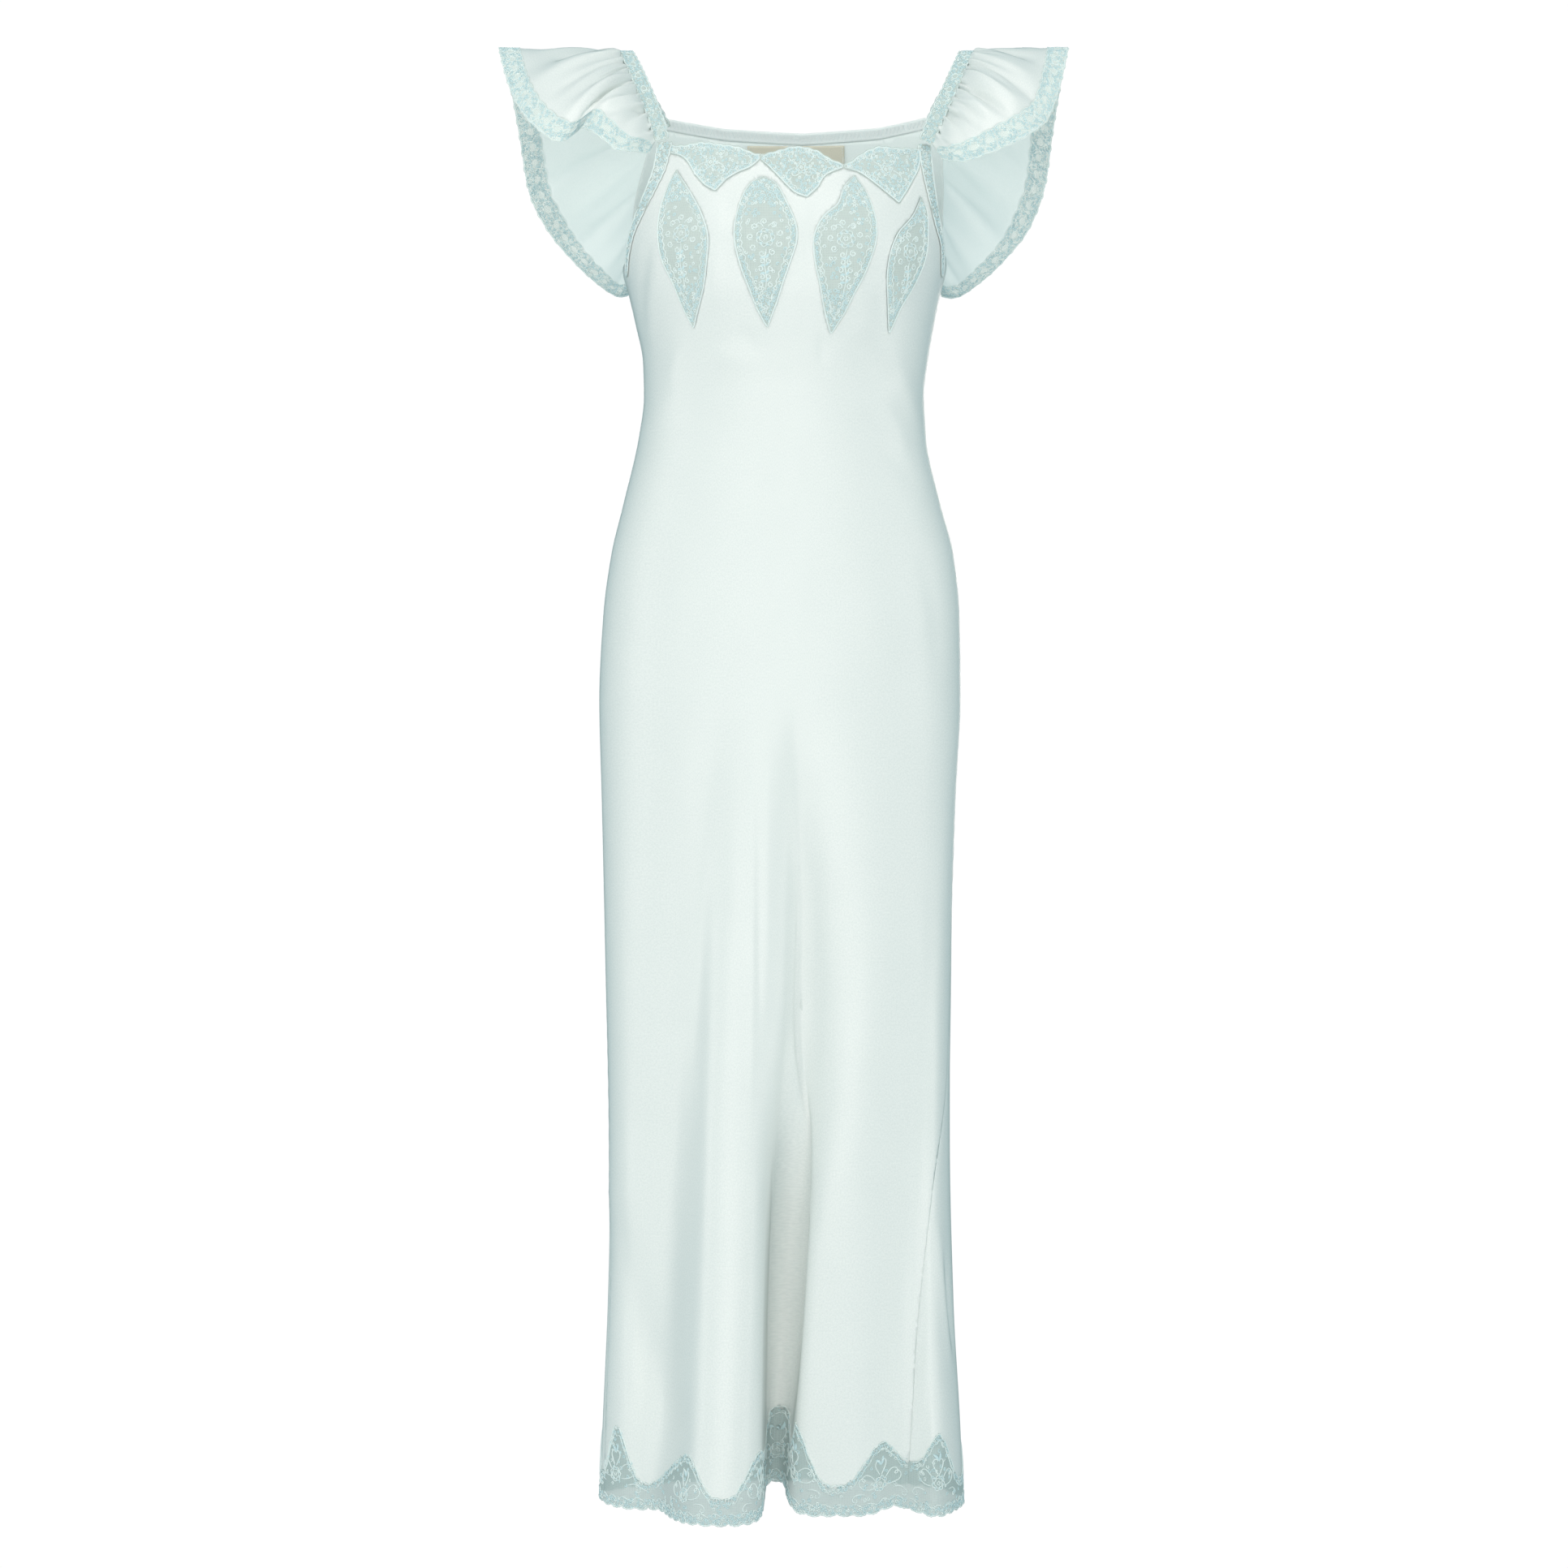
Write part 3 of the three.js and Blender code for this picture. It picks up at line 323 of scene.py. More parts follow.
BACK_CREASES = [
    # the same with the angle round the dress in place of x
    (13, -1.8, (203, -296), (216, -346), (233, -404)),
    (12, -1.7, (151, -288), (139, -330), (121, -398)),
    (15, 1.6, (171, -326), (154, -352), (139, -392)),
    (13, 1.5, (194, -338), (208, -356), (223, -374)),
    (17, -1.2, (183, -176), (179, -250), (181, -332)),
    (9, 1.6, (129, -236), (124, -280), (115, -334)),
    (10, 1.7, (235, -238), (240, -290), (248, -338)),
    (24, -3.2, (158, -640), (152, -830), (155, -1020), (149, -1240)),
    (9, 1.7, (171, -610), (169, -820), (172, -1050)),
    (19, -3.0, (196, -655), (201, -860), (198, -1120)),
    (12, 1.5, (214, -720), (212, -900), (218, -1180)),
    (20, -2.2, (232, -690), (238, -930), (236, -1230)),
    (10, 1.6, (133, -700), (137, -880), (133, -1090)),
    (15, -1.7, (116, -680), (112, -900), (108, -1190)),
    (10, 1.4, (103, -620), (99, -860), (97, -1000)),
    (8, 2.2, (80, -1150), (84, -1220), (89, -1302)),
    (7, -2.4, (85, -1180), (89, -1240), (94, -1290)),
    (9, 1.8, (75, -1250), (71, -1320), (66, -1390)),
    (10, -1.6, (254, -760), (258, -960), (255, -1240)),
]
MM_PER_DEGREE = 2.9


def with_rows(rows):
    """A crease's line, and its depth and two widths at each share of its length."""
    rows = np.array(rows, float)
    steps = run_lengths(rows[:, :2])
    return rows[:, :2], steps / steps[-1], rows[:, 2], rows[:, 3], rows[:, -1 if rows.shape[1] > 4 else 2]


def faded(table):
    """Plain creases rise and die away softly at their ends."""
    for width, out, *line in table:
        line = smooth_curve(line)[0](np.linspace(0, 1, 9))
        depth = out * np.sin(np.pi * np.linspace(0, 1, 9)) ** 0.8
        yield with_rows(np.column_stack([line, np.full(9, width), depth]))


front_creases = [with_rows(rows) for rows in DEEP_CREASES] + list(faded(FRONT_CREASES))
back_creases = list(faded([(width, out, *[(angle * MM_PER_DEGREE, z) for angle, z in line])
                           for width, out, *line in BACK_CREASES]))
print(len(front_creases) + len(back_creases), "creases")


def to_line(points, line):
    """How far points are from a bent line, how far along it, and whether to its right (seen running down)."""
    runs = np.diff(line, axis=0)
    starts = run_lengths(line)
    best, share, right = np.full(len(points), 1e9), np.zeros(len(points)), np.zeros(len(points), bool)
    for k, (start, run) in enumerate(zip(line, runs)):
        t = np.clip((points - start) @ run / max(run @ run, 1e-9), 0, 1)
        off = points - start - t[:, None] * run
        away = np.hypot(*off.T)
        closer = away < best
        best = np.where(closer, away, best)
        share = np.where(closer, (starts[k] + t * np.hypot(*run)) / starts[-1], share)
        right = np.where(closer, off[:, 0] > 0, right)
    return best, share, right


# %% What creases and seams do to the cloth
SEAM_HEADS = ("z", "right", "left")
SIDE_SEAMS = np.array([
    (-100, -90, 88), (-345, -94, 92), (-900, -95, 92), (-1000, -95, 88),
    (-1130, -94, 76), (-1250, -92, 69), (-1450, -90, 63),
], float)
seam = {h: fair(SIDE_SEAMS[:, 0], SIDE_SEAMS[:, SEAM_HEADS.index(h)]) for h in SEAM_HEADS[1:]}
# the stitched line and the small puckers on both sides of it
STITCHED = dict(deep=0.6, wide=2.6)
PUCKERS = dict(deep=0.16, pitch=2.9, sway=37, beside=4.5, wide=3)


def crease_sum(points, table):
    total = np.zeros(len(points))
    for line, at, widths, outs, beyond in table:
        reach = 3 * max(widths.max(), beyond.max())
        near = np.nonzero(((points > line.min(0) - reach) & (points < line.max(0) + reach)).all(1))[0]
        if len(near):
            away, share, right = to_line(points[near], line)
            width = np.where(right, np.interp(share, at, beyond), np.interp(share, at, widths))
            total[near] += np.interp(share, at, outs) * np.exp(-((away / width) ** 1.8))
    return total


def creases(angle, z):
    """How far the creases move the cloth outwards, and the drawn-in seams inwards."""
    angle, z = np.broadcast_arrays(np.asarray(angle, float), np.asarray(z, float))
    a, height = angle.ravel(), z.ravel()
    faces_front = np.clip((np.cos(np.radians(a)) + 0.25) / 0.2, 0, 1)
    total = faces_front * crease_sum(np.stack([dress(a, height)[:, 0], height], -1), front_creases)
    total += crease_sum(np.stack([a * MM_PER_DEGREE, height], -1), back_creases)
    for side in ("right", "left"):
        for turn in (0, 360):
            away = (a - seam[side](height) - turn) * MM_PER_DEGREE
            sway = 2 * np.sin(height / PUCKERS["sway"])
            pucker = PUCKERS["deep"] * np.sin(height / PUCKERS["pitch"] + sway)
            total -= STITCHED["deep"] * np.exp(-((away / STITCHED["wide"]) ** 2))
            total += pucker * np.exp(-(((np.abs(away) - PUCKERS["beside"]) / PUCKERS["wide"]) ** 2))
    return total.reshape(angle.shape)


def on_dress(angle, z, lift=0.0):
    """A point on the creased cloth, lifted off it."""
    return dress(angle, z) + dress_normal(angle, z) * (creases(angle, z) + lift)[..., None]


# %% [markdown]
# ## Cutting out
# Each panel is cut as on a table: an outline and the windows that the lace is let into. The room inside is
# filled with an even mesh that keeps to those lines (a constrained Delaunay triangulation), which gives a
# clean edge at every window, where a grid would leave steps.

# %% Cutting tools
def resample(points, step):
    """The same line with points at even steps, corners kept where they are sharp."""
    points = np.asarray(points, float)
    lengths = run_lengths(points)
    count = max(2, int(round(lengths[-1] / step)) + 1)
    at = np.linspace(0, lengths[-1], count)
    return np.stack([np.interp(at, lengths, points[:, k]) for k in range(points.shape[1])], -1)


def inside(points, outline):
    """Which points lie inside a closed outline."""
    x, y = points[:, 0], points[:, 1]
    found = np.zeros(len(points), bool)
    ends = np.roll(outline, -1, axis=0)
    for (x0, y0), (x1, y1) in zip(outline, ends):
        if y0 == y1:
            continue
        crosses = (y0 > y) != (y1 > y)
        found ^= crosses & (x < (x1 - x0) * (y - y0) / (y1 - y0) + x0)
    return found


def even_loop(outline, step):
    """A closed outline with points at even steps."""
    return resample(np.vstack([outline, outline[:1]]), step)[:-1]


def cut_out(outline, windows=(), across=3.4, down=5.0):
    """Points and triangles of a flat piece: inside the outline, outside its windows."""
    squash = np.array([1.0, across / down])
    loops = [np.asarray(loop) * squash for loop in (outline, *windows)]
    low, high = loops[0].min(0), loops[0].max(0)
    grid = np.stack(np.meshgrid(np.arange(low[0], high[0], across), np.arange(low[1], high[1], across)), -1)
    grid = grid.reshape(-1, 2)
    keep = inside(grid, loops[0])
    edges = np.concatenate(loops)
    cells = {}
    for p in edges:
        cells.setdefault((int(p[0] // across), int(p[1] // across)), []).append(p)
    near = 0.45 * across
    for i in np.nonzero(keep)[0]:
        cx, cy = int(grid[i, 0] // across), int(grid[i, 1] // across)
        for dx in (-1, 0, 1):
            for dy in (-1, 0, 1):
                for p in cells.get((cx + dx, cy + dy), ()):
                    if abs(p[0] - grid[i, 0]) < near and abs(p[1] - grid[i, 1]) < near:
                        keep[i] = False
    points = [Vector(p) for p in edges] + [Vector(p) for p in grid[keep]]
    lines, start = [], 0
    for loop in loops:
        n = len(loop)
        lines += [(start + k, start + (k + 1) % n) for k in range(n)]
        start += n
    verts, _, faces, *_ = delaunay_2d_cdt(points, lines, [], 0, 1e-4)
    verts = np.array([tuple(v) for v in verts])
    faces = np.array([f for f in faces if len(f) == 3])
    middle = verts[faces].mean(1)
    kept = inside(middle, loops[0])
    for window in loops[1:]:
        kept &= ~inside(middle, window)
    faces = faces[kept]
    used = np.unique(faces)
    place = np.full(len(verts), -1)
    place[used] = np.arange(len(used))
    return verts[used] / squash, place[faces]


def to_mesh(name, points, faces, materials, uv=None, tones=None):
    """A smooth mesh object in metres, with the cloth's own flat sizes as its UVs."""
    faces = np.asarray(faces, np.int32)
    mesh = bpy.data.meshes.new(name)
    mesh.vertices.add(len(points))
    mesh.vertices.foreach_set("co", (np.asarray(points) * MM).astype(np.float32).ravel())
    mesh.loops.add(faces.size)
    mesh.loops.foreach_set("vertex_index", faces.ravel())
    mesh.polygons.add(len(faces))
    mesh.polygons.foreach_set("loop_start", np.arange(0, faces.size, faces.shape[1], dtype=np.int32))
    mesh.polygons.foreach_set("use_smooth", np.ones(len(faces), bool))
    if tones is not None:
        mesh.polygons.foreach_set("material_index", np.asarray(tones, np.int32))
    if uv is not None:
        layer = mesh.uv_layers.new(name="cloth")
        layer.data.foreach_set("uv", (np.asarray(uv)[faces.ravel()] * MM).astype(np.float32).ravel())
    for material in materials:
        mesh.materials.append(material)
    mesh.update(calc_edges=True)
    mesh.validate()
    obj = bpy.data.objects.new(name, mesh)
    scene.collection.objects.link(obj)
    return obj


def faces_outward(points, faces, normals):
    """Turns the faces whose winding looks away from the normals."""
    a, b, c = (points[faces[:, k]] for k in range(3))
    wrong = (np.cross(b - a, c - a) * normals[faces[:, 0]]).sum(1) < 0
    faces = faces.copy()
    faces[wrong] = faces[wrong][:, ::-1]
    return faces


def give_thickness(obj, thickness):
    """Real cloth has an edge and a wrong side: a thin wall inwards, its inner face in the next material."""
    wall = obj.modifiers.new("cloth", "SOLIDIFY")
    wall.thickness = thickness * MM
    wall.offset = -1
    wall.material_offset = 1
    wall.use_rim = True


def cloth_area(points, faces):
    a, b, c = (points[faces[:, k]] for k in range(3))
    return float(np.linalg.norm(np.cross(b - a, c - a), axis=1).sum() / 2e6)


def lay(name, points, faces, normals, finishes, flat, wall=0.0):
    """Lays a piece of cloth in place of its plain solid, and gives it back with its square metres."""
    faces = faces_outward(points, faces, normals)
    obj = to_mesh(name, points, faces, finishes, flat)
    if wall:
        give_thickness(obj, wall)
    area = cloth_area(points, faces)
    print(name, len(faces), "triangles,", round(area, 4), "square metres")
    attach(obj, "root")
    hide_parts(name)
    return obj, area


# %% [markdown]
# ## Finishes
# The satin is a polyester charmeuse: smooth on the face with a soft, wide gloss, and duller and a touch
# greener on the wrong side. One shader group makes the fine grain of woven thread and is used by every cloth.

# %% Shader tools
def new_group(name, inputs, outputs):
    group = bpy.data.node_groups.new(name, "ShaderNodeTree")
    for label, kind, value in inputs:
        socket = group.interface.new_socket(label, in_out="INPUT", socket_type=kind)
        if value is not None:
            socket.default_value = value
    for label, kind in outputs:
        group.interface.new_socket(label, in_out="OUTPUT", socket_type=kind)
    return group, group.nodes.new("NodeGroupInput"), group.nodes.new("NodeGroupOutput")


def node(tree, kind, links=None, **settings):
    """A shader node with its settings, its inputs set or linked by name or number."""
    made = tree.nodes.new(kind)
    for key, value in settings.items():
        setattr(made, key, value)
    for key, value in (links or {}).items():
        socket = made.inputs[key]
        if isinstance(value, bpy.types.NodeSocket):
            tree.links.new(value, socket)
        else:
            socket.default_value = value
    return made


def ranged(tree, value, low, high, to_low, to_high, **settings):
    """A value carried from one range into another."""
    links = {"Value": value, "From Min": low, "From Max": high, "To Min": to_low, "To Max": to_high}
    return node(tree, "ShaderNodeMapRange", links, **settings).outputs[0]


def mixed(tree, factor, first, second):
    """Two colours mixed."""
    links = {"Factor": factor, "A": first, "B": second}
    return node(tree, "ShaderNodeMix", links, data_type="RGBA").outputs["Result"]


def noise(tree, vector, scale, detail, roughness=0.5):
    links = {"Vector": vector, "Scale": scale, "Detail": detail, "Roughness": roughness}
    return node(tree, "ShaderNodeTexNoise", links).outputs["Fac"]


def on_own_size(tree, group, values=()):
    """A group of nodes that reads the cloth's own flat sizes."""
    cloth = node(tree, "ShaderNodeUVMap", uv_map="cloth")
    return node(tree, "ShaderNodeGroup", {"Vector": cloth.outputs["UV"], **dict(values)}, node_tree=group)


def new_material(name, values):
    """A material with one Principled shader, and the values of sockets that nothing is linked to."""
    material = bpy.data.materials.new(name)
    material.use_nodes = True
    tree = material.node_tree
    tree.nodes.clear()
    output = tree.nodes.new("ShaderNodeOutputMaterial")
    shader = tree.nodes.new("ShaderNodeBsdfPrincipled")
    tree.links.new(shader.outputs[0], output.inputs[0])
    for key, value in values.items():
        shader.inputs[key].default_value = value
    return material, tree, shader


def add_bump(tree, shader, height, strength, distance):
    bump = node(tree, "ShaderNodeBump", {"Strength": strength, "Distance": distance, "Height": height})
    tree.links.new(bump.outputs[0], shader.inputs["Normal"])


# %% Grain of woven thread
THREAD_TURN = (0, 0, math.radians(45))
THREAD_STRETCH = (1.0, 0.16, 1.0)
MOTTLES_PER_METRE = 520.0
CLOUDS_PER_METRE = 14.0

grain, take, give = new_group(
    "thread grain",
    [("Vector", "NodeSocketVector", None), ("Threads per metre", "NodeSocketFloat", 1500.0)],
    [("Height", "NodeSocketFloat"), ("Unevenness", "NodeSocketFloat")])
flat_place = take.outputs["Vector"]
stretched = node(grain, "ShaderNodeMapping",
                 {"Vector": flat_place, "Rotation": THREAD_TURN, "Scale": THREAD_STRETCH})
fine = noise(grain, stretched.outputs[0], take.outputs["Threads per metre"], 1.0)
spread = ranged(grain, noise(grain, flat_place, MOTTLES_PER_METRE, 2.0, 0.7), 0.3, 0.7, -0.5, 0.5)
calm = ranged(grain, noise(grain, flat_place, CLOUDS_PER_METRE, 3.0), 0.2, 0.8, 0.4, 0.6)
both = node(grain, "ShaderNodeMath", {0: calm, 1: spread}, operation="ADD", use_clamp=True)
grain.links.new(fine, give.inputs["Height"])
grain.links.new(both.outputs[0], give.inputs["Unevenness"])
print("group made:", grain.name)


# %% Satin, both sides
# where the painted edge shade starts, read from the Facing of a Layer Weight
PAINTED_EDGE_SHADE_FROM = 0.76


def satin(name, colour, shade, roughness, gloss, sheen, edge=0.75):
    """A satin whose tone and gloss vary slightly. Where it turns away from the view its colour is darkened:
    painted shade for the dark bands along its turning edges.
    """
    material, tree, shader = new_material(
        name, {"Specular IOR Level": gloss, "Sheen Weight": sheen, "Sheen Roughness": 0.4})
    thread = on_own_size(tree, grain)
    tone = mixed(tree, thread.outputs["Unevenness"], (*colour, 1), (*shade, 1))
    # painted shade: the base colour goes towards a darker copy of the shade colour where the surface turns
    # away from the view
    turned = node(tree, "ShaderNodeLayerWeight", {"Blend": 0.5})
    facing = turned.outputs["Facing"]
    away = ranged(tree, facing, PAINTED_EDGE_SHADE_FROM, 1.0, 0.0, edge, interpolation_type="SMOOTHSTEP")
    seen = mixed(tree, away, tone, (*[c * c * 0.8 for c in shade], 1))
    rough = ranged(tree, thread.outputs["Unevenness"], 0.3, 0.7, roughness - 0.03, roughness + 0.04)
    tree.links.new(seen, shader.inputs["Base Color"])
    tree.links.new(rough, shader.inputs["Roughness"])
    add_bump(tree, shader, thread.outputs["Height"], 0.12, 0.0002)
    return material


# the last value of each satin is how strongly its painted edge shade darkens it
satin_face = satin("satin face", (0.825, 0.862, 0.838), (0.735, 0.782, 0.762), 0.40, 0.5, 0.06, 0.8)
# the wrong side is much paler than the face: partly its own paler back, partly painted light for the light
# that comes through the thin cloth onto the inner sleeves
satin_wrong = satin("satin wrong side", (0.925, 0.985, 0.965), (0.88, 0.95, 0.93), 0.62, 0.3, 0.15, 0.8)
both_sides = [satin_face, satin_wrong]

# %% [markdown]
# The lace is a fine sheer net with corded embroidery. A hole of the net is little more than a millimetre, so
# the net is a pattern in the shader's Alpha. The cords and leaves stand up from it and are real geometry.

# %% Net and thread
net_pattern, take, give = new_group(
    "fine net",
    [("Vector", "NodeSocketVector", None), ("Holes per metre", "NodeSocketFloat", 620.0),
     ("Thread share", "NodeSocketFloat", 0.16)],
    [("Thread", "NodeSocketFloat"), ("Height", "NodeSocketFloat")])
cell = node(net_pattern, "ShaderNodeTexVoronoi", {"Vector": take.outputs["Vector"], "Scale": take.outputs[1],
                                                  "Randomness": 0.25}, feature="DISTANCE_TO_EDGE")
near_edge = ranged(net_pattern, cell.outputs["Distance"], 0.05, take.outputs["Thread share"], 1.0, 0.0)
net_pattern.links.new(near_edge, give.inputs["Thread"])
net_pattern.links.new(near_edge, give.inputs["Height"])


def net_material(name, colour, closed_share):
    """Sheer net: thread where the pattern says, and between the threads a share that still shows."""
    material, tree, shader = new_material(
        name, {"Base Color": (*colour, 1), "Roughness": 0.7, "Specular IOR Level": 0.3})
    net = on_own_size(tree, net_pattern)
    alpha = ranged(tree, net.outputs["Thread"], 0.0, 1.0, closed_share, 1.0)
    tree.links.new(alpha, shader.inputs["Alpha"])
    add_bump(tree, shader, net.outputs["Height"], 0.3, 0.0002)
    return material


def thread_material(name, colour, shade, per_metre):
    """Embroidery thread: short strokes side by side, matt with a faint gloss."""
    material, tree, shader = new_material(name, {"Roughness": 0.58, "Specular IOR Level": 0.35})
    thread = on_own_size(tree, grain, {"Threads per metre": per_metre})
    tone = mixed(tree, thread.outputs["Height"], (*shade, 1), (*colour, 1))
    tree.links.new(tone, shader.inputs["Base Color"])
    add_bump(tree, shader, thread.outputs["Height"], 0.5, 0.0003)
    return material


lace_net = net_material("lace net", (0.58, 0.66, 0.625), 0.80)
# the sleeve lace's net is a lighter copy of the lace net: painted light where the turned-away sleeve edge
# gets less light
lit_sleeve_net = net_material("lit sleeve lace net", (0.76, 0.83, 0.79), 0.80)
# the hem lace's net is a darker copy of the lace net: painted shade for the dark inside of the hem seen
# through it
shaded_hem_net = net_material("shaded hem lace net", (0.46, 0.56, 0.545), 0.77)
lace_cord = thread_material("lace cord", (0.84, 0.93, 0.915), (0.74, 0.85, 0.84), 2600.0)
lace_fill = thread_material("lace satin stitch", (0.65, 0.81, 0.825), (0.56, 0.74, 0.77), 2600.0)
band_satin = satin("neck band satin", (0.94, 0.98, 0.97), (0.88, 0.94, 0.93), 0.55, 0.35, 0.15)
label_weave = thread_material("label weave", (0.80, 0.76, 0.62), (0.66, 0.63, 0.53), 3400.0)
sewing_thread = thread_material("sewing thread", (0.86, 0.94, 0.94), (0.72, 0.83, 0.84), 4000.0)
print(len(bpy.data.materials), "materials")

# %% [markdown]
# ## Front and back
# The front has a square neckline, four windows for lace diamonds and three notches for lace points. Its
# lower edge follows the scallops of the hem lace. The back is plain, and the hem lace goes all round.

# %% Edges of the panels
UNDERARM_Z = -234

FRONT_TOP = np.array([
    (-153, -216), (-150, -196), (-143, -176), (-133, -152), (-125, -130), (-121, -104), (-108, -105),
    (-66, -110), (-23, -120), (12, -112), (48, -127), (88, -110), (128, -106), (141, -105), (143, -130),
    (147, -160), (151, -184), (155, -206),
], float)
BACK_TOP = np.array([
    (-153, -216), (-153, -180), (-148, -140), (-138, -100), (-127, -72), (-112, -73), (-60, -80),
    (18, -84), (95, -80), (140, -73), (153, -72), (158, -100), (159, -140), (158, -180), (155, -206),
], float)

HEM_LACE = np.array([
    # angle round the hem, height of the peak there, and height of the dip after it
    (-79, 76, 23), (-38, 62, 22), (-9, 62, 48), (6.5, 70, 50), (17, 80, 26), (52, 64, 44), (79, 76, 26),
    (110, 72, 24), (143, 76, 26), (171, 70, 24), (200, 76, 26), (226, 72, 24), (253, 72, 26),
], float)


def hem_lace_height(angle):
    """The hem lace's height: a peak at each repeat, and a round dip between two peaks."""
    start = HEM_LACE[0, 0]
    at = (np.asarray(angle, float) - start) % 360 + start
    k = np.searchsorted(HEM_LACE[:, 0], at, side="right") - 1
    following = (k + 1) % len(HEM_LACE)
    span = HEM_LACE[following, 0] + np.where(following == 0, 360, 0) - HEM_LACE[k, 0]
    t = (at - HEM_LACE[k, 0]) / span
    peak = np.where(t < 0.5, HEM_LACE[k, 1], HEM_LACE[following, 1])
    dip = HEM_LACE[k, 2]
    return dip + (peak - dip) * (0.5 + 0.5 * np.cos(2 * np.pi * t)) ** 1.5


def hem_edge_z(angle):
    return HEM_Z + hem["lift"](angle)


SEAM_SPARE = 0.6


def down_seam(side, bottom, turned):
    z = np.append(np.arange(UNDERARM_Z, bottom, -8.0), bottom)
    return np.stack([to_laid(seam[side](z) + turned), z], -1)


def along_lace(start, end):
    first, last = to_laid(start), to_laid(end)
    angle = from_laid(np.linspace(first, last, int(abs(last - first) / 3)))
    return np.stack([to_laid(angle), hem_edge_z(angle) + hem_lace_height(angle)], -1)


def panel_outline(back):
    """Round a half: its top edge, one side seam, the lace's upper edge and the other side seam."""
    top = BACK_TOP[::-1] if back else FRONT_TOP
    edge = np.stack([to_laid(angle_at(top[:, 0], top[:, 1], back)), top[:, 1]], -1)
    first, last = ("right", 0), ("left", 0)
    if back:
        first, last = ("left", -SEAM_SPARE), ("right", 360 + SEAM_SPARE)
    start, finish = ([to_laid(seam[side](UNDERARM_Z) + turned), UNDERARM_Z] for side, turned in (first, last))
    edge = resample(np.vstack([start, edge, finish]), 4)
    low = [float(seam[side](HEM_Z + 60) + turned) for side, turned in (first, last)]
    bottoms = [float(hem_edge_z(a) + hem_lace_height(a)) for a in low]
    to_hem = down_seam(last[0], bottoms[1], last[1])[1:]
    from_hem = down_seam(first[0], bottoms[0], first[1])[::-1][:-1]
    hem_line = along_lace(low[1], low[0])[1:-1]
    return np.vstack([edge, to_hem, hem_line, from_hem])


# %% Windows for the lace
NECK_LACE = {
    # the lower edge down to the point, and up again, as x and z
    "neck_lace_right": ([(-112, -116), (-97, -122), (-86, -139), (-76, -151), (-66, -157)],
                        [(-58, -147), (-45, -139), (-33, -134), (-23.2, -126)]),
    "neck_lace_middle": ([(-22.8, -126), (-14, -134), (0, -149), (10, -159), (22, -164)],
                         [(32, -156), (39, -143), (47, -138), (56.8, -134)]),
    "neck_lace_left": ([(57.2, -134), (72, -138), (88, -149), (102, -160), (111, -167)],
                       [(118, -156), (124, -144), (130, -132), (133, -120)]),
}
DIAMONDS = {
    # the right-hand side from top to tip, and the left-hand side from tip to top
    "diamond_lace_1": (
        [(-104, -134), (-112, -150), (-119, -172), (-121.5, -196), (-117, -222), (-106, -246), (-97, -268),
         (-87, -287)],
        [(-82, -268), (-77, -248), (-74, -224), (-73, -202), (-80, -178), (-90, -158), (-104, -134)]),
    "diamond_lace_2": (
        [(-20, -143), (-32, -150), (-41, -166), (-47, -190), (-47, -208), (-41, -232), (-34, -250),
         (-26, -270), (-16, -288)],
        [(-8, -268), (-1, -246), (6, -226), (12, -206), (11, -190), (2, -168), (-8, -150), (-20, -143)]),
    "diamond_lace_3": (
        [(68, -141), (58, -153), (52, -170), (38, -183), (29, -202), (30, -226), (35, -250), (39, -272),
         (45, -294)],
        [(56, -278), (68, -254), (81, -229), (88, -207), (88, -186), (80, -160), (68, -141)]),
    "diamond_lace_4": (
        [(133, -158), (124, -179), (110, -197), (103, -215), (100, -236), (101, -262), (102, -292)],
        [(112, -268), (127, -242), (137, -216), (139, -192), (138, -172), (133, -158)]),
}


SIDE_STEP = 3.0


def two_sides(first, second):
    """One outline from two smooth sides that meet in a point."""
    sides = []
    for points in (first, second):
        curve, length = smooth_curve(points)
        sides.append(curve(np.linspace(0, 1, int(length / SIDE_STEP) + 1)))
    return np.vstack([sides[0], sides[1][1:]])


def diamond_outline(name):
    return two_sides(*DIAMONDS[name])[:-1]


ABOVE_NECK_Z = -80


def neck_outline(name):
    """The point, and from its two ends straight up past the neckline."""
    lower = two_sides(*NECK_LACE[name])
    return np.vstack([[(lower[0, 0], ABOVE_NECK_Z)], lower, [(lower[-1, 0], ABOVE_NECK_Z)]])


def onto_cloth(outline):
    """An outline as seen from the front, laid out on the cloth."""
    outline = even_loop(outline, 3)
    return np.stack([to_laid(angle_at(outline[:, 0], outline[:, 1])), outline[:, 1]], -1)


windows = {name: onto_cloth(diamond_outline(name)) for name in DIAMONDS}
windows |= {name: onto_cloth(neck_outline(name)) for name in NECK_LACE}
print(len(windows), "windows")


def make_panel(name, outline, holes=(), lift=0.0):
    flat, faces = cut_out(outline, holes)
    angle, z = from_laid(flat[:, 0]), flat[:, 1]
    points, normals = on_dress(angle, z, lift), dress_normal(angle, z)
    panel, area = lay(name, points, faces, normals, both_sides, flat, 0.6)


make_panel("front_panel", panel_outline(back=False), windows.values())
make_panel("back_panel", panel_outline(back=True), lift=-0.4)

# %% [markdown]
# ## Straps and sleeves
# A strap is a band of lace over the shoulder. The flutter sleeve is a curved flounce: its inner edge is
# gathered into the strap and sewn down the back armhole. Its outer edge is longer and stands off in waves.
# Both are worked out from lines in space, so they are made by sampling those lines, not by sculpting.

# %% Lines in space
STRAP_WIDTH = 15
SLEEVE_LACE_WIDTH = 21
SHOULDER_CENTRE_Z = -92
SEWN_IN = 1
GATHERS = 9
GATHER_DEPTH = 2.2
GATHERED_SHARE = 0.45

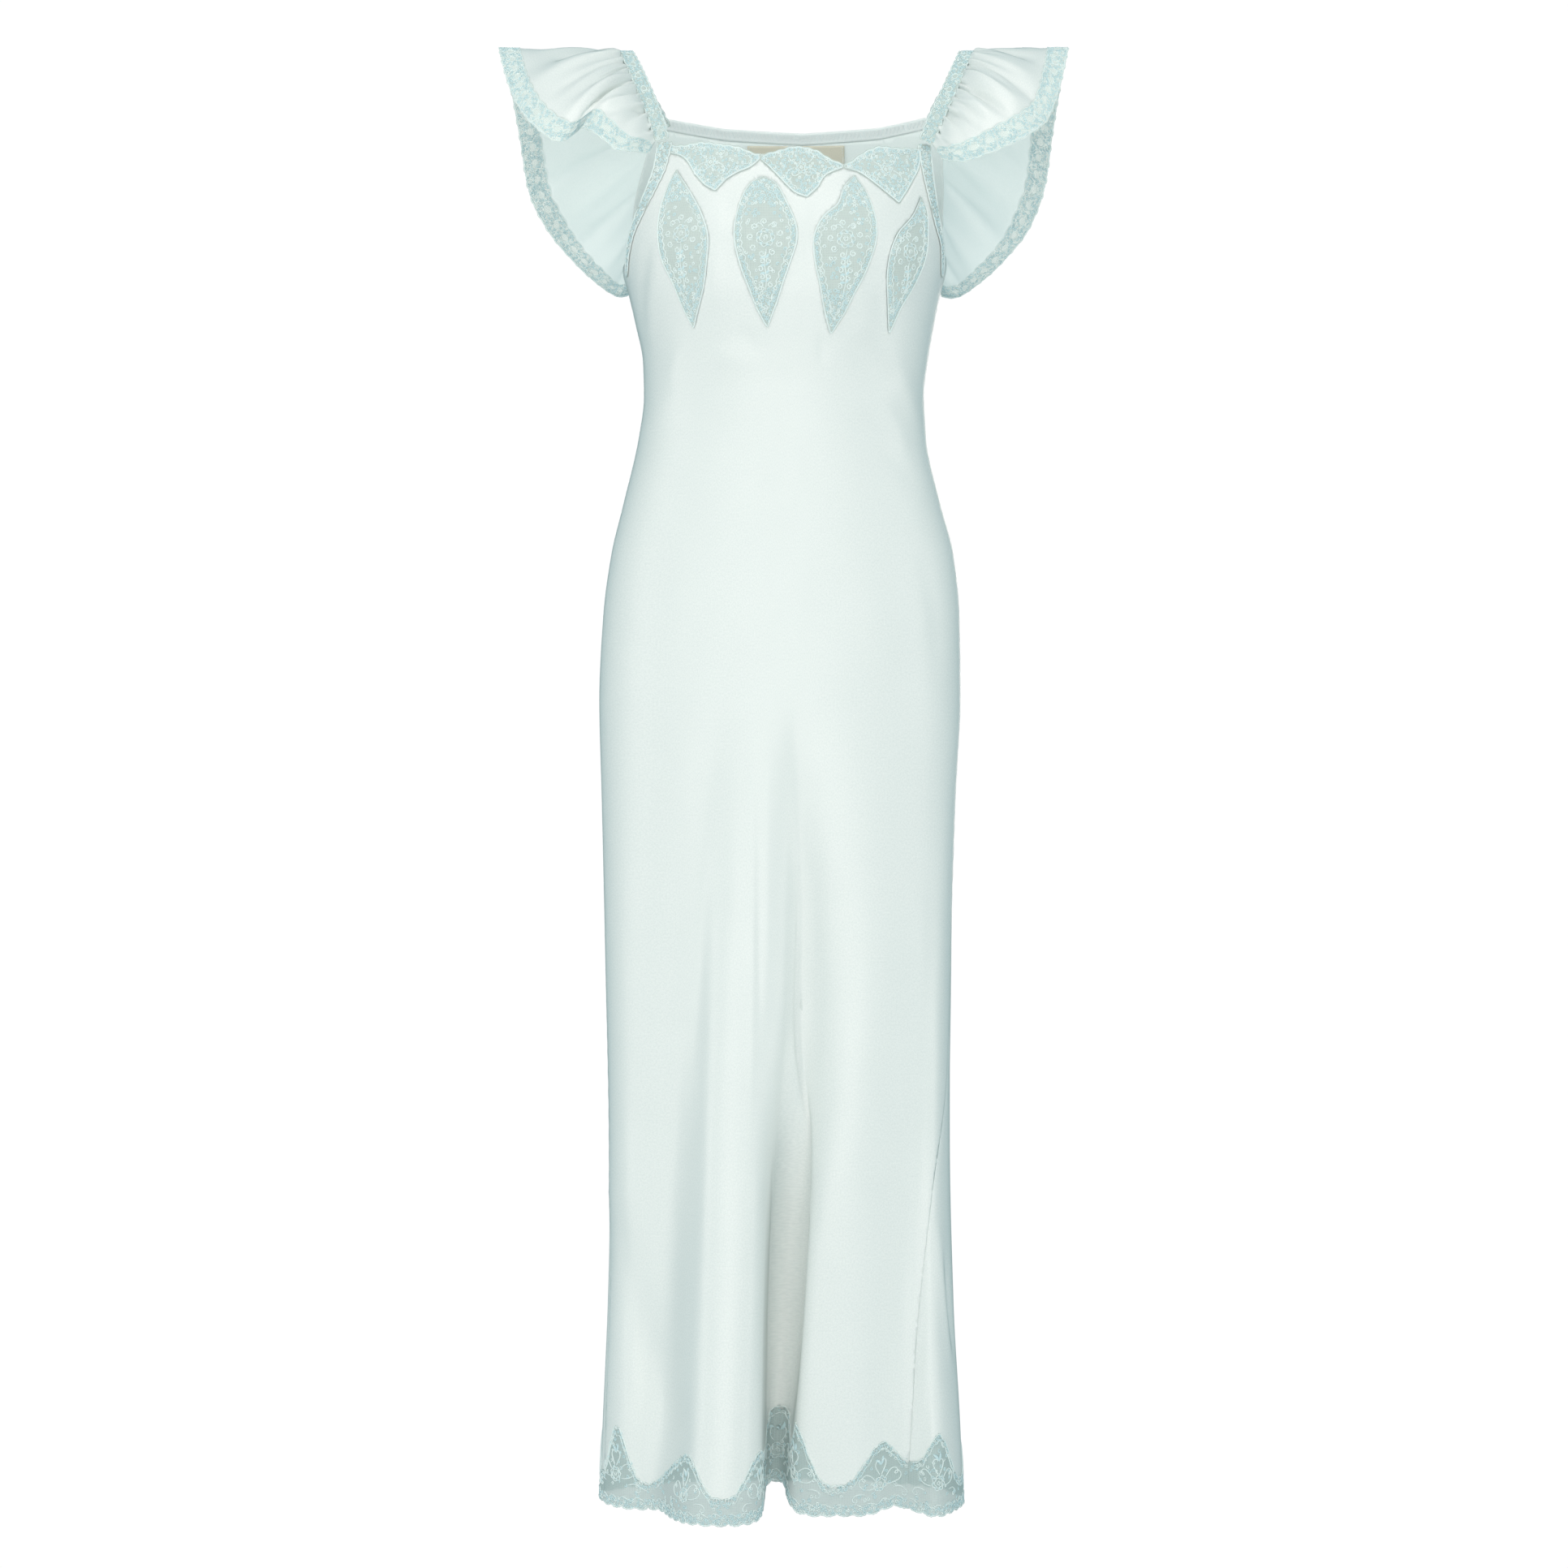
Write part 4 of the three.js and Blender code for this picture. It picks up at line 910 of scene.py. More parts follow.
STRAP_LINES = {
    "right": np.array([
        (-119, -80, -103.2), (-122, -74, -88), (-129, -63, -68), (-138, -47, -45), (-147, -28, -23),
        (-156, 0, -4), (-152, 28, -14), (-141, 50, -34), (-129, 63, -54), (-120, 68, -71.3)], float),
    "left": np.array([
        (138, -75, -104.2), (144, -71, -88), (153, -62, -68), (163, -46, -45), (172, -28, -23),
        (180, 0, -4), (175, 28, -14), (165, 46, -34), (154, 55, -54), (147, 58, -71.3)], float),
}
# share along the sleeve's head, x, y, z of its outer edge, and how far the cloth arches between
SLEEVE_EDGES = {
    "right": np.array([
        (0, -131, -92, -118, 0), (0.05, -157, -112, -118, 6), (0.11, -178, -112, -104, 12),
        (0.16, -195, -100, -95, 14), (0.21, -215, -116, -110, 16), (0.27, -246, -100, -88, 15),
        (0.33, -268, -62, -48, 10), (0.39, -281, -8, -3, 3), (0.46, -274, 50, -28, 7),
        (0.53, -266, 88, -76, 14), (0.61, -258, 104, -128, 16), (0.7, -240, 112, -166, 15),
        (0.79, -216, 106, -196, 13), (0.88, -190, 92, -222, 10), (0.95, -168, 66, -238, 6),
        (1, -155, 26, -242, 0)], float),
    "left": np.array([
        (0, 154, -92, -124, 0), (0.05, 172, -108, -128, 6), (0.11, 194, -112, -122, 12),
        (0.16, 212, -110, -114, 14), (0.21, 232, -106, -104, 16), (0.27, 254, -90, -86, 15),
        (0.33, 270, -56, -44, 10), (0.39, 280, -8, -3, 3), (0.46, 276, 50, -30, 7),
        (0.53, 270, 86, -74, 14), (0.61, 264, 102, -122, 16), (0.7, 249, 110, -164, 15),
        (0.79, 225, 104, -196, 13), (0.88, 196, 90, -224, 10), (0.95, 172, 64, -240, 6),
        (1, 157, 26, -243, 0)], float),
}


straps = {side: smooth_curve(points) for side, points in STRAP_LINES.items()}
print("strap lengths", {side: round(length) for side, (_, length) in straps.items()})


def on_strap(side, share, aside, lift=0.0):
    """A point of a strap: a share of its length, a distance to the side of its middle, and a lift."""
    share, aside = np.broadcast_arrays(np.asarray(share, float), np.asarray(aside, float))
    curve, _ = straps[side]
    middle = curve(share)
    along = unit(curve(share + 0.004) - curve(share - 0.004))
    up = middle * (0, 1, 1) - (0, 0, SHOULDER_CENTRE_Z)
    across = unit(np.cross(along, unit(up)))
    normal = unit(np.cross(across, along))
    point = middle + across * aside[..., None] + normal * np.asarray(lift)[..., None]
    return point, normal


# %% Sleeve surface
def sleeve_head(side):
    sign = -1 if side == "right" else 1
    share = np.linspace(0, 1, 21)
    out, _ = on_strap(side, share, STRAP_WIDTH / 2 - SEWN_IN)
    other, _ = on_strap(side, share, SEWN_IN - STRAP_WIDTH / 2)
    outer = np.where((sign * (out - other)[:, :1]) > 0, out, other)
    rows = BACK_TOP[(sign * BACK_TOP[:, 0] >= 127) & (BACK_TOP[:, 1] < -73)]
    rows = np.vstack([rows, [sign * 154, UNDERARM_Z]])
    z = np.arange(-86, UNDERARM_Z + 2, -12.0)
    angle = angle_at(fair(rows[:, 1], rows[:, 0])(z), z, back=True)
    radius = np.hypot(*plain_section(angle, z))
    armhole = dress(angle + sign * np.degrees((SEWN_IN * 1.4 + 3.5) / radius), z)
    return smooth_curve(np.vstack([outer, armhole]))[0]


heads = {side: sleeve_head(side) for side in straps}
edges = {side: [fair(rows[:, 0], rows[:, k]) for k in (1, 2, 3, 4)] for side, rows in SLEEVE_EDGES.items()}

# share along the head and depth where a crease starts and ends, its width as a share, and how far it is out
SLEEVE_CREASES = {
    "right": [(0.02, 0.05, 0.05, 0.7, 0.0102, 2.8), (0.085, 0.04, 0.13, 0.75, 0.0119, -3.5),
              (0.12, 0.02, 0.155, 0.8, 0.0102, 4.2), (0.18, 0.03, 0.19, 0.85, 0.0085, -5.2),
              (0.205, 0.03, 0.23, 0.9, 0.011, 3.9), (0.26, 0.02, 0.27, 0.8, 0.0085, -3.9),
              (0.3, 0.02, 0.31, 0.9, 0.0119, 3.1), (0.335, 0.02, 0.335, 0.6, 0.0068, -3.5),
              (0.37, 0.03, 0.365, 0.7, 0.0085, 2.8), (0.45, 0.02, 0.47, 0.7, 0.0175, -3.7),
              (0.52, 0.03, 0.55, 0.9, 0.02, 4.1), (0.6, 0.05, 0.63, 0.9, 0.0175, -5.5),
              (0.67, 0.05, 0.7, 0.95, 0.025, 5.5), (0.76, 0.05, 0.78, 0.9, 0.02, -5.1),
              (0.84, 0.05, 0.86, 0.9, 0.0225, 4.1), (0.92, 0.05, 0.93, 0.9, 0.0175, -3.2)],
    "left": [(0.025, 0.05, 0.06, 0.7, 0.0102, 2.4), (0.09, 0.03, 0.12, 0.8, 0.011, -3.9),
             (0.13, 0.02, 0.17, 0.7, 0.011, 3.5), (0.17, 0.03, 0.2, 0.8, 0.0085, -4.5),
             (0.215, 0.03, 0.24, 0.8, 0.0119, 4.2), (0.255, 0.03, 0.275, 0.9, 0.0085, -3.5),
             (0.29, 0.02, 0.3, 0.8, 0.0102, 2.8), (0.34, 0.02, 0.34, 0.7, 0.0076, -3.1),
             (0.385, 0.02, 0.38, 0.7, 0.0093, 2.6), (0.44, 0.02, 0.45, 0.8, 0.0163, -4.1),
             (0.5, 0.03, 0.53, 0.9, 0.02, 4.6), (0.58, 0.05, 0.61, 0.9, 0.0175, -4.6),
             (0.66, 0.05, 0.69, 0.95, 0.025, 5.1), (0.74, 0.05, 0.77, 0.9, 0.02, -5.5),
             (0.83, 0.05, 0.85, 0.9, 0.0225, 3.7), (0.91, 0.05, 0.92, 0.9, 0.0175, -3.7)],
}


def sleeve_plain(side, u, v):
    u, v = np.broadcast_arrays(np.asarray(u, float), np.asarray(v, float))
    start = heads[side](u)
    end = np.stack([column(u) for column in edges[side][:3]], -1)
    middle = (start + end) / 2
    up = unit(middle * (0, 1, 1) + (0, 0, 150))
    arch = edges[side][3](u) * 4 * v * (1 - v)
    gathered = np.minimum(u / 0.04, 1) * np.clip((GATHERED_SHARE - u) / 0.08, 0, 1)
    wave = np.sin(2 * np.pi * GATHERS * u / GATHERED_SHARE)
    fade = 4 * np.minimum(v, 0.5) * (1 - v) ** 3 * 1.8
    rise = arch + GATHER_DEPTH * wave * gathered * fade
    return start + (end - start) * v[..., None] + up * rise[..., None]


def sleeve_creases(side, u, v):
    total = np.zeros(np.broadcast(u, v).shape)
    for u0, v0, u1, v1, width, out in SLEEVE_CREASES[side]:
        along = np.clip((v - v0) / (v1 - v0), 0, 1)
        aside = u - (u0 + (u1 - u0) * along)
        spread = width * (0.55 + 0.9 * along)
        fade = np.sin(np.pi * np.clip((v - v0 + 0.06) / (v1 - v0 + 0.06), 0, 1)) ** 0.7
        total += out * np.exp(-((aside / spread) ** 2)) * fade
    gathered = np.minimum(u / 0.03, 1) * np.clip((GATHERED_SHARE + 0.05 - u) / 0.08, 0, 1)
    tucks = 2.1 * np.sin(2 * np.pi * 41 * u + 2 * np.sin(31 * u)) + 1.1 * np.sin(2 * np.pi * 67 * u + 1.3)
    reach = 0.2 + 0.1 * np.sin(2 * np.pi * 13 * u + 0.7)
    return total + tucks * gathered * np.exp(-((v / reach) ** 2)) * np.minimum(v / 0.02, 1)


def on_sleeve(side, u, v, lift=0.0):
    """A point of a sleeve: a share u along its head, a share v from head to edge, and a lift."""
    sign = -1 if side == "right" else 1
    step = 0.004
    across = sleeve_plain(side, np.minimum(u + step, 1), v) - sleeve_plain(side, np.maximum(u - step, 0), v)
    down = sleeve_plain(side, u, v + step) - sleeve_plain(side, u, v - step)
    normal = sign * unit(np.cross(down, across))
    raised = 0.8 + sleeve_creases(side, u, v) + lift - 1.6 * np.exp(-((v / 0.03) ** 2))
    return sleeve_plain(side, u, v) + normal * raised[..., None], normal


def sleeve_length(side, u):
    head, rim = (sleeve_plain(side, u, np.full_like(u, v)) for v in (0, 1))
    return np.linalg.norm(head - rim, axis=-1)


def lace_from(side, u):
    return 1 - np.minimum(SLEEVE_LACE_WIDTH / sleeve_length(side, u), 0.6)


share_steps = np.linspace(0, 1, 800)
edge_lengths = {}
for side in heads:
    rim = sleeve_plain(side, share_steps, np.ones_like(share_steps))
    edge_lengths[side] = run_lengths(rim)
    print(side, "sleeve, outer edge", round(float(edge_lengths[side][-1])), "mm")


def scallop(s, period, depth):
    """Round scallops along an edge, from 0 in the notch to depth at the crest."""
    return depth * np.abs(np.sin(np.pi * np.asarray(s) / period)) ** 0.7


SLEEVE_SCALLOP = 16.3
SLEEVE_DEPTH = 130


def flat_grid(across, down, columns, rows):
    """The points of an even grid over two ranges, and its triangles."""
    a = np.repeat(np.linspace(*across, columns + 1), rows + 1)
    b = np.tile(np.linspace(*down, rows + 1), columns + 1)
    i, j = np.meshgrid(np.arange(columns), np.arange(rows), indexing="ij")
    one = (i * (rows + 1) + j).ravel()
    two, three, four = one + 1, one + rows + 2, one + rows + 1
    return a, b, np.vstack([np.stack([one, two, three], -1), np.stack([one, three, four], -1)])


def make_sleeve(side):
    u, t, faces = flat_grid((0, 1), (0, 1), 300, 44)
    s = np.interp(u, share_steps, edge_lengths[side])
    inward = scallop(s, SLEEVE_SCALLOP, 2.2) - 1.2
    end = lace_from(side, u) - inward / sleeve_length(side, u)
    points, normals = on_sleeve(side, u, t * end)
    flat = np.stack([s, t * SLEEVE_DEPTH], -1)
    sleeve, area = lay(f"sleeve_{side}", points, faces, normals, both_sides, flat, 0.5)


for side in ("right", "left"):
    make_sleeve(side)

# %% [markdown]
# ## Drawing lace
# Lace like this is a net with cords and satin stitch laid on it. Each stitch line is drawn flat, like a lace
# maker's pricking, with a width at each point, and then raised as a low ridge on the surface it lies on.
# Curls, roses, leaves and vines are common lace figures, drawn here by formula.

# %% Lace figures
rng = np.random.default_rng(7)
CORD, FILL = 0, 1
VINE_POINTS = 20


def stroke(line, half, high, tone=CORD):
    """A raised line: points, half its width in the middle, its height, and which thread. Its ends taper."""
    line = np.asarray(line, float)
    t = np.linspace(0, 1, len(line))
    taper = np.minimum(1, np.minimum(t, 1 - t) * 8 + 0.25)
    return dict(line=line, half=half * taper, high=high * taper, tone=tone)


def curl(centre, size, facing, hand=1, turns=1.25, tone=FILL, half=0.52):
    """A small spiral, the stitch that fills dense places."""
    t = np.linspace(0, 1, 9)
    a = facing + hand * turns * 2 * np.pi * t
    r = size * (1 - 0.7 * t)
    return stroke(np.asarray(centre) + np.stack([r * np.cos(a), r * np.sin(a)], -1), half, 0.55, tone)


def vine(start, heading, length, bend, tighten):
    """A stem that bends more and more towards its tip, as a scroll does."""
    t = np.linspace(0, 1, VINE_POINTS)
    turn = heading + bend * t + tighten * t**3
    steps = np.stack([np.cos(turn), np.sin(turn)], -1) * length / (VINE_POINTS - 1)
    line = np.asarray(start) + np.vstack([[0, 0], np.cumsum((steps[:-1] + steps[1:]) / 2, axis=0)])
    return stroke(line, 0.55, 0.8)


def leaf(start, heading, length, width):
    """A filled leaf in satin stitch."""
    t = np.linspace(0, 1, 8)
    turn = heading + 0.5 * t
    line = np.asarray(start) + np.stack([np.cos(turn), np.sin(turn)], -1) * (t * length)[:, None]
    half = 0.15 + width / 2 * np.sin(np.pi * t) ** 0.8
    return dict(line=line, half=half, high=0.2 + 0.6 * np.sin(np.pi * t), tone=FILL)


def ring(centre, radius, petals=0, deep=0.2, turn=0.0, half=0.5):
    """A closed cord, round or with petals."""
    t = np.linspace(0, 2 * np.pi, 8 * max(petals, 3) + 1)
    r = radius * (1 - deep + deep * np.abs(np.cos(petals * t / 2 + turn))) if petals else radius + 0 * t
    line = np.asarray(centre) + np.stack([r * np.cos(t), r * np.sin(t)], -1)
    return dict(line=line, half=np.full(len(t), half), high=np.full(len(t), 0.8), tone=CORD)


def rose(centre, radius, turn=0.0):
    """A round rose: two rows of petals and a spiral heart."""
    found = [ring(centre, radius, 7, 0.24, turn), ring(centre, radius * 0.66, 5, 0.22, turn + 1),
             curl(centre, radius * 0.36, turn, turns=1.8, tone=CORD, half=0.5)]
    for k in range(7):
        a = turn + 2 * np.pi * (k + 0.5) / 7
        spot = np.asarray(centre) + radius * 0.8 * np.array([np.cos(a), np.sin(a)])
        found.append(curl(spot, radius * 0.17, a))
    return found


def scatter(low, high, pitch):
    """Spots on a shaken honeycomb."""
    rows = np.arange(low[1], high[1], pitch * 0.87)
    columns = np.arange(low[0], high[0], pitch)
    spots = [(x + (k % 2) * pitch / 2, y) for k, y in enumerate(rows) for x in columns]
    spots = np.array(spots).reshape(-1, 2)
    return spots + rng.uniform(-0.22, 0.22, spots.shape) * pitch


def fill_curls(spots, size=1.5):
    found = []
    for spot in spots:
        grown = size * rng.uniform(0.85, 1.2)
        tone = CORD if rng.random() < 0.3 else FILL
        facing, hand, turns = rng.uniform(0, 2 * np.pi), rng.choice((-1, 1)), rng.uniform(0.8, 1.4)
        found.append(curl(spot, grown, facing, hand, turns, tone))
    return found


# %% Lace meshes
def edge_distance(points, outline):
    """How far each point is from a closed outline."""
    return to_line(points, np.vstack([outline, outline[:1]]))[0]


INSET_STEP = 1.6


def inset_line(outline, inward):
    """The closed outline moved inwards, without the bits that would cross at its corners."""
    outline = even_loop(outline, INSET_STEP)
    following = np.roll(outline, -1, axis=0)
    run = following - np.roll(outline, 1, axis=0)
    turn = np.sum(outline[:, 0] * following[:, 1] - following[:, 0] * outline[:, 1])
    side = unit(np.stack([-run[:, 1], run[:, 0]], -1)) * np.sign(turn)
    inward = np.broadcast_to(inward, len(outline))
    moved = outline + side * inward[:, None]
    keep = edge_distance(moved, outline) > inward - 0.25
    return moved[keep]


def raise_strokes(name, strokes, place, finishes, both=False):
    """One mesh with all the strokes: low ridges of two slopes, or flat cords that show on both faces."""
    flats, lifts, tris, tones = [], [], [], []
    start = 0
    corners = 4 if both else 3
    for s in strokes:
        line, half, high = s["line"], s["half"], s["high"]
        n = len(line)
        run = np.gradient(line, axis=0)
        side = unit(np.stack([-run[:, 1], run[:, 0]], -1)) * half[:, None]
        low = np.zeros(n) if both else np.full(n, 0.1)
        flats.append(np.stack([line + side, line, line - side, line][:corners], 1).reshape(-1, 2))
        lifts.append(np.stack([low, high + 0.1, low, -high - 0.1][:corners], 1).ravel())
        for k in range(4 if both else 2):
            a = start + corners * np.arange(n - 1) + k
            b = a - k + (k + 1) % corners
            tris += [np.stack([a, b, b + corners], -1), np.stack([a, b + corners, a + corners], -1)]
            tones += [np.full(2 * (n - 1), s["tone"])]
        start += corners * n
    flat, lift = np.vstack(flats), np.concatenate(lifts)
    points, normals = place(flat, lift)
    if both:
        ring_middle = points.reshape(-1, 4, 3).mean(1)
        normals = points - np.repeat(ring_middle, 4, axis=0)
    faces = faces_outward(points, np.vstack(tris), normals)
    obj = to_mesh(name, points, faces, finishes, flat, np.concatenate(tones))
    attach(obj, "root")
    print(name, len(strokes), "strokes,", len(faces), "triangles")
    return obj


def make_lace(name, outline, strokes, place, size, lift, cell=3.0, overlap=0.0, both=False,
              finish=lace_net):
    """A piece of lace: its net cut to the outline, with some overlap, and its raised stitches."""
    cut = inset_line(outline, -overlap) if overlap else outline
    flat, faces = cut_out(cut, across=cell, down=cell)
    points, normals = place(flat, np.full(len(flat), lift))
    net, area = lay(name, points, faces, normals, [finish], flat)
    stitches = raise_strokes(name + ".stitches", strokes, lambda f, up: place(f, up + lift),
                             [lace_cord, lace_fill], both=both)
    round(min(area, size[0] * size[1]), 5)


# %% [markdown]
# ## Lace let into the front
# Four long diamonds, each with a corded border, a rose above the middle and scrolls down its axis, and
# thicker stitching in the top and bottom corners. Three points of the same lace hang from the neckline.

# %% Flat cloth of the bodice
BODICE_LEVEL = -200
bodice_angles = np.arange(-110, 111, 0.5)
bodice_line = dress(bodice_angles, np.full_like(bodice_angles, BODICE_LEVEL))
bodice_arc = run_lengths(bodice_line)
bodice_arc -= np.interp(0, bodice_angles, bodice_arc)


def seen_to_flat(seen):
    """A closed outline seen from the front, as it lies on the cutting table."""
    seen = np.vstack([seen, seen[:1]])
    angle = angle_at(seen[:, 0], seen[:, 1])
    return resample(np.stack([np.interp(angle, bodice_angles, bodice_arc), seen[:, 1]], -1), 2.0)[:-1]


def on_bodice(flat, lift):
    angle = np.interp(flat[:, 0], bodice_arc, bodice_angles)
    return on_dress(angle, flat[:, 1], lift), dress_normal(angle, flat[:, 1])


def let_in(name, outline, stitches):
    """A piece of lace let into the front, half a millimetre over the edge of its window."""
    size = tuple(np.round(np.ptp(outline, axis=0) * MM + 0.006, 3))
    make_lace(name, outline, stitches, on_bodice, size, 0.35, overlap=0.5)


def border(outline, outer=-0.2, inner=6.0):
    """Two cords with curls between them, along a closed outline."""
    found = []
    along = np.arange(len(even_loop(outline, INSET_STEP))) * INSET_STEP
    for inward, half, wavy in ((outer, 0.75, 0.0), (inner, 0.5, 0.8)):
        line = inset_line(outline, inward + wavy * np.sin(along * 2 * np.pi / 7.5))
        breaks = np.nonzero(np.linalg.norm(np.diff(line, axis=0), axis=1) > 5)[0] + 1
        for part in np.split(line, breaks):
            if len(part) > 3:
                found.append(stroke(part, half, 0.9))
    middle = inset_line(outline, (outer + inner) / 2)[::2]
    return found + fill_curls(middle + rng.uniform(-0.4, 0.4, middle.shape), 1.8)


def mirrored(makers, axis_x):
    """Vines on both sides of an upright axis."""
    found = []
    for x, z, heading, length, bend, tighten in makers:
        for side in (1, -1):
            turned = heading if side > 0 else np.pi - heading
            found.append(vine((axis_x + side * x, z), turned, length, side * bend, side * tighten))
    return found


def diamond_stitches(outline):
    top, low = outline[:, 1].max(), outline[:, 1].min()
    tall = top - low
    widest = outline[np.abs(outline[:, 1] - (top - 0.42 * tall)) < 6]
    heart = (float(widest[:, 0].min() + widest[:, 0].max()) / 2, top - 0.42 * tall)
    wide = float(np.ptp(widest[:, 0]))
    size = min(9.0, wide / 5.0)
    found = border(outline)
    found += rose(heart, size)
    k = size / 9
    for turn in np.arange(0, 2 * np.pi, 2 * np.pi / 9) + 0.3:
        spot = np.array(heart) + (size * 1.62 * np.cos(turn), size * 1.75 * np.sin(turn))
        found.append(curl(spot, 3.5 * k, turn + 2.4, 1 if np.cos(turn) > 0 else -1, 1.3, CORD, 0.6))
    stem = np.linspace(heart[1] - size, low + 0.22 * tall, 16)
    found.append(stroke(np.stack([heart[0] + 0.9 * np.sin(stem / 5), stem], -1), 0.5, 0.8))
    for n, height in enumerate(np.arange(heart[1] - size * 2.5, low + 0.26 * tall, -7.5 * k)):
        for hand in (1, -1):
            out = (3.2 + 1.6 * (n % 2)) * k
            spot = (heart[0] + hand * out, height)
            found.append(curl(spot, 3.0 * k, 1.9 - 0.6 * hand, hand, 1.2, CORD, 0.6))
            found.append(leaf((heart[0], height + 3 * k), np.pi / 2 - hand * 1.1, 5 * k, 2.2 * k))
    for hand in (1, -1):
        start = (heart[0] + hand * 2 * k, heart[1] + size * 1.1)
        found.append(vine(start, np.pi / 2 - hand * 0.5, 13 * k, -hand * 0.9, -hand * 4.5))
    spots = scatter(outline.min(0), outline.max(0), 4.0)
    spots = spots[inside(spots, outline)]
    away = edge_distance(spots, outline)
    spots, away = spots[away > 4.32], away[away > 4.32]
    part = (top - spots[:, 1]) / tall
    found += fill_curls(spots[(part < 0.2) | (part > 0.74)], 1.9)
    loose = spots[(part > 0.22) & (part < 0.72) & (away > 8)]
    loose = loose[(np.hypot(*(loose - heart).T) > size * 2.3) & (np.abs(loose[:, 0] - heart[0]) > 7 * k)]
    return found + fill_curls(loose[rng.random(len(loose)) < 0.4], 1.8)


for name in DIAMONDS:
    outline = seen_to_flat(diamond_outline(name))
    let_in(name, outline, diamond_stitches(outline))

# %% Neckline points
NECK_EDGE = fair(*np.array([
    (-118, -106), (-100, -111), (-80, -108.5), (-62, -111), (-45, -114), (-23, -122), (-8, -119), (11, -114),
    (29, -117), (46, -127), (58, -131), (70, -124), (80, -117), (94, -112), (110, -113), (126, -112),
    (136, -113)]).T)


def neck_flat(name):
    """The point's outline, closed along the neckline with a soft scallop."""
    lower = neck_outline(name)[1:-1]
    x = np.linspace(lower[-1, 0], lower[0, 0], 40)
    upper = np.stack([x, NECK_EDGE(x) + scallop(x, 9.5, 1.6)], -1)
    upper[[0, -1], 1] = np.maximum(upper[[0, -1], 1], lower[[-1, 0], 1] + 1.5)
    return seen_to_flat(np.vstack([lower, upper]))


def neck_stitches(outline):
    found = border(outline, 1.0, 5.2)
    low, high = outline.min(0), outline.max(0)
    heart = ((low[0] + high[0]) / 2, high[1] - 0.42 * (high[1] - low[1]))
    found += rose(heart, 6.2, 0.5)
    found += mirrored([(5, heart[1] + 4, 0.3, 24, 0.8, 5.5), (6, heart[1], -0.2, 26, -0.8, -5.0),
                       (2, heart[1] - 5, -0.9, 16, 1.2, 5.0)], heart[0])
    spots = scatter(low, high, 3.9)
    spots = spots[inside(spots, outline)]
    spots = spots[(edge_distance(spots, outline) > 4.5) & (np.hypot(*(spots - heart).T) > 7)]
    return found + fill_curls(spots[rng.random(len(spots)) < 0.75], 1.6)


for name in NECK_LACE:
    outline = neck_flat(name)
    let_in(name, outline, neck_stitches(outline))

# %% [markdown]
# ## Lace edgings
# The straps, the front armholes and the sleeves have narrow lace with scalloped edges. Each is drawn as a
# straight ribbon, so many millimetres along and across, and then laid on its curve.

# %% Ribbons of lace
def ribbon_outline(length, low_edge, high_edge):
    s = np.linspace(0, length, max(8, int(length / 2.0)))
    lower = np.stack([s, low_edge(s)], -1)
    upper = np.stack([s, high_edge(s)], -1)[::-1]
    return np.vstack([lower, upper])


def in_parts(s, line, half, length):
    """A long cord along an edging, worked in parts of about 60 mm."""
    parts = np.array_split(np.stack([s, line], -1), max(1, int(length / 60)))
    return [stroke(part, half, 0.9) for part in parts]


def ribbon_stitches(length, low_edge, high_edge, pitch, oval_every=0.0, oval=(1, 1)):
    """Cords along both edges and curls between, with an oval of bare net left at each repeat."""
    s = np.linspace(1, length - 1, max(8, int(length / 1.7)))
    found = []
    for share in (0.06, 0.94):
        found += in_parts(s, low_edge(s) + (high_edge(s) - low_edge(s)) * share, 0.7, length)
    low, high = float(low_edge(s).min()), float(high_edge(s).max())
    spots = scatter((1.5, low + 1), (length - 1.5, high - 0.5), pitch)
    room = np.minimum(spots[:, 1] - low_edge(spots[:, 0]), high_edge(spots[:, 0]) - spots[:, 1])
    spots = spots[room > 1.7]
    if oval_every:
        middle = (low + high) / 2
        nearest = (np.round(spots[:, 0] / oval_every - 0.5) + 0.5) * oval_every
        outside = ((spots[:, 0] - nearest) / oval[0]) ** 2 + ((spots[:, 1] - middle) / oval[1]) ** 2
        spots = spots[outside > 1]
        for x in np.arange(oval_every / 2, length, oval_every):
            if 8 < x < length - 8:
                rim = ring((x, middle), 1.0, half=0.4)
                rim["line"] = (rim["line"] - (x, middle)) * oval + (x, middle)
                found.append(rim)
    return found + fill_curls(spots, pitch * 0.46)


# %% Straps
STRAP_SCALLOP = 9.4


def strap_high(s):
    return STRAP_WIDTH / 2 - 0.6 + scallop(s, STRAP_SCALLOP, 1.3)


def strap_low(s):
    return -strap_high(s)


for side, (_, length) in straps.items():
    def on_this(flat, lift, side=side, length=length):
        return on_strap(side, flat[:, 0] / length, flat[:, 1], lift)

    outline = ribbon_outline(length, strap_low, strap_high)
    stitches = ribbon_stitches(length, strap_low, strap_high, 3.1, 2 * STRAP_SCALLOP, (3.6, 2.6))
    size = (round(length * MM + 0.002, 3), round(float(np.ptp(outline[:, 1])) * MM + 0.001, 4))
    make_lace(f"strap_lace_{side}", outline, stitches, on_this, size, 0.0, 2.6, both=True)

# %% Armholes
TRIM_WIDTH = 15
TRIM_SCALLOP = 8.2
TRIM_TOP_FROM = {"right": 121, "left": 141}
TRIM_FOOT_X = {"right": 153.6, "left": 154.2}


def trim_low(s):
    return -1.0 - scallop(s, TRIM_SCALLOP, 0.9)


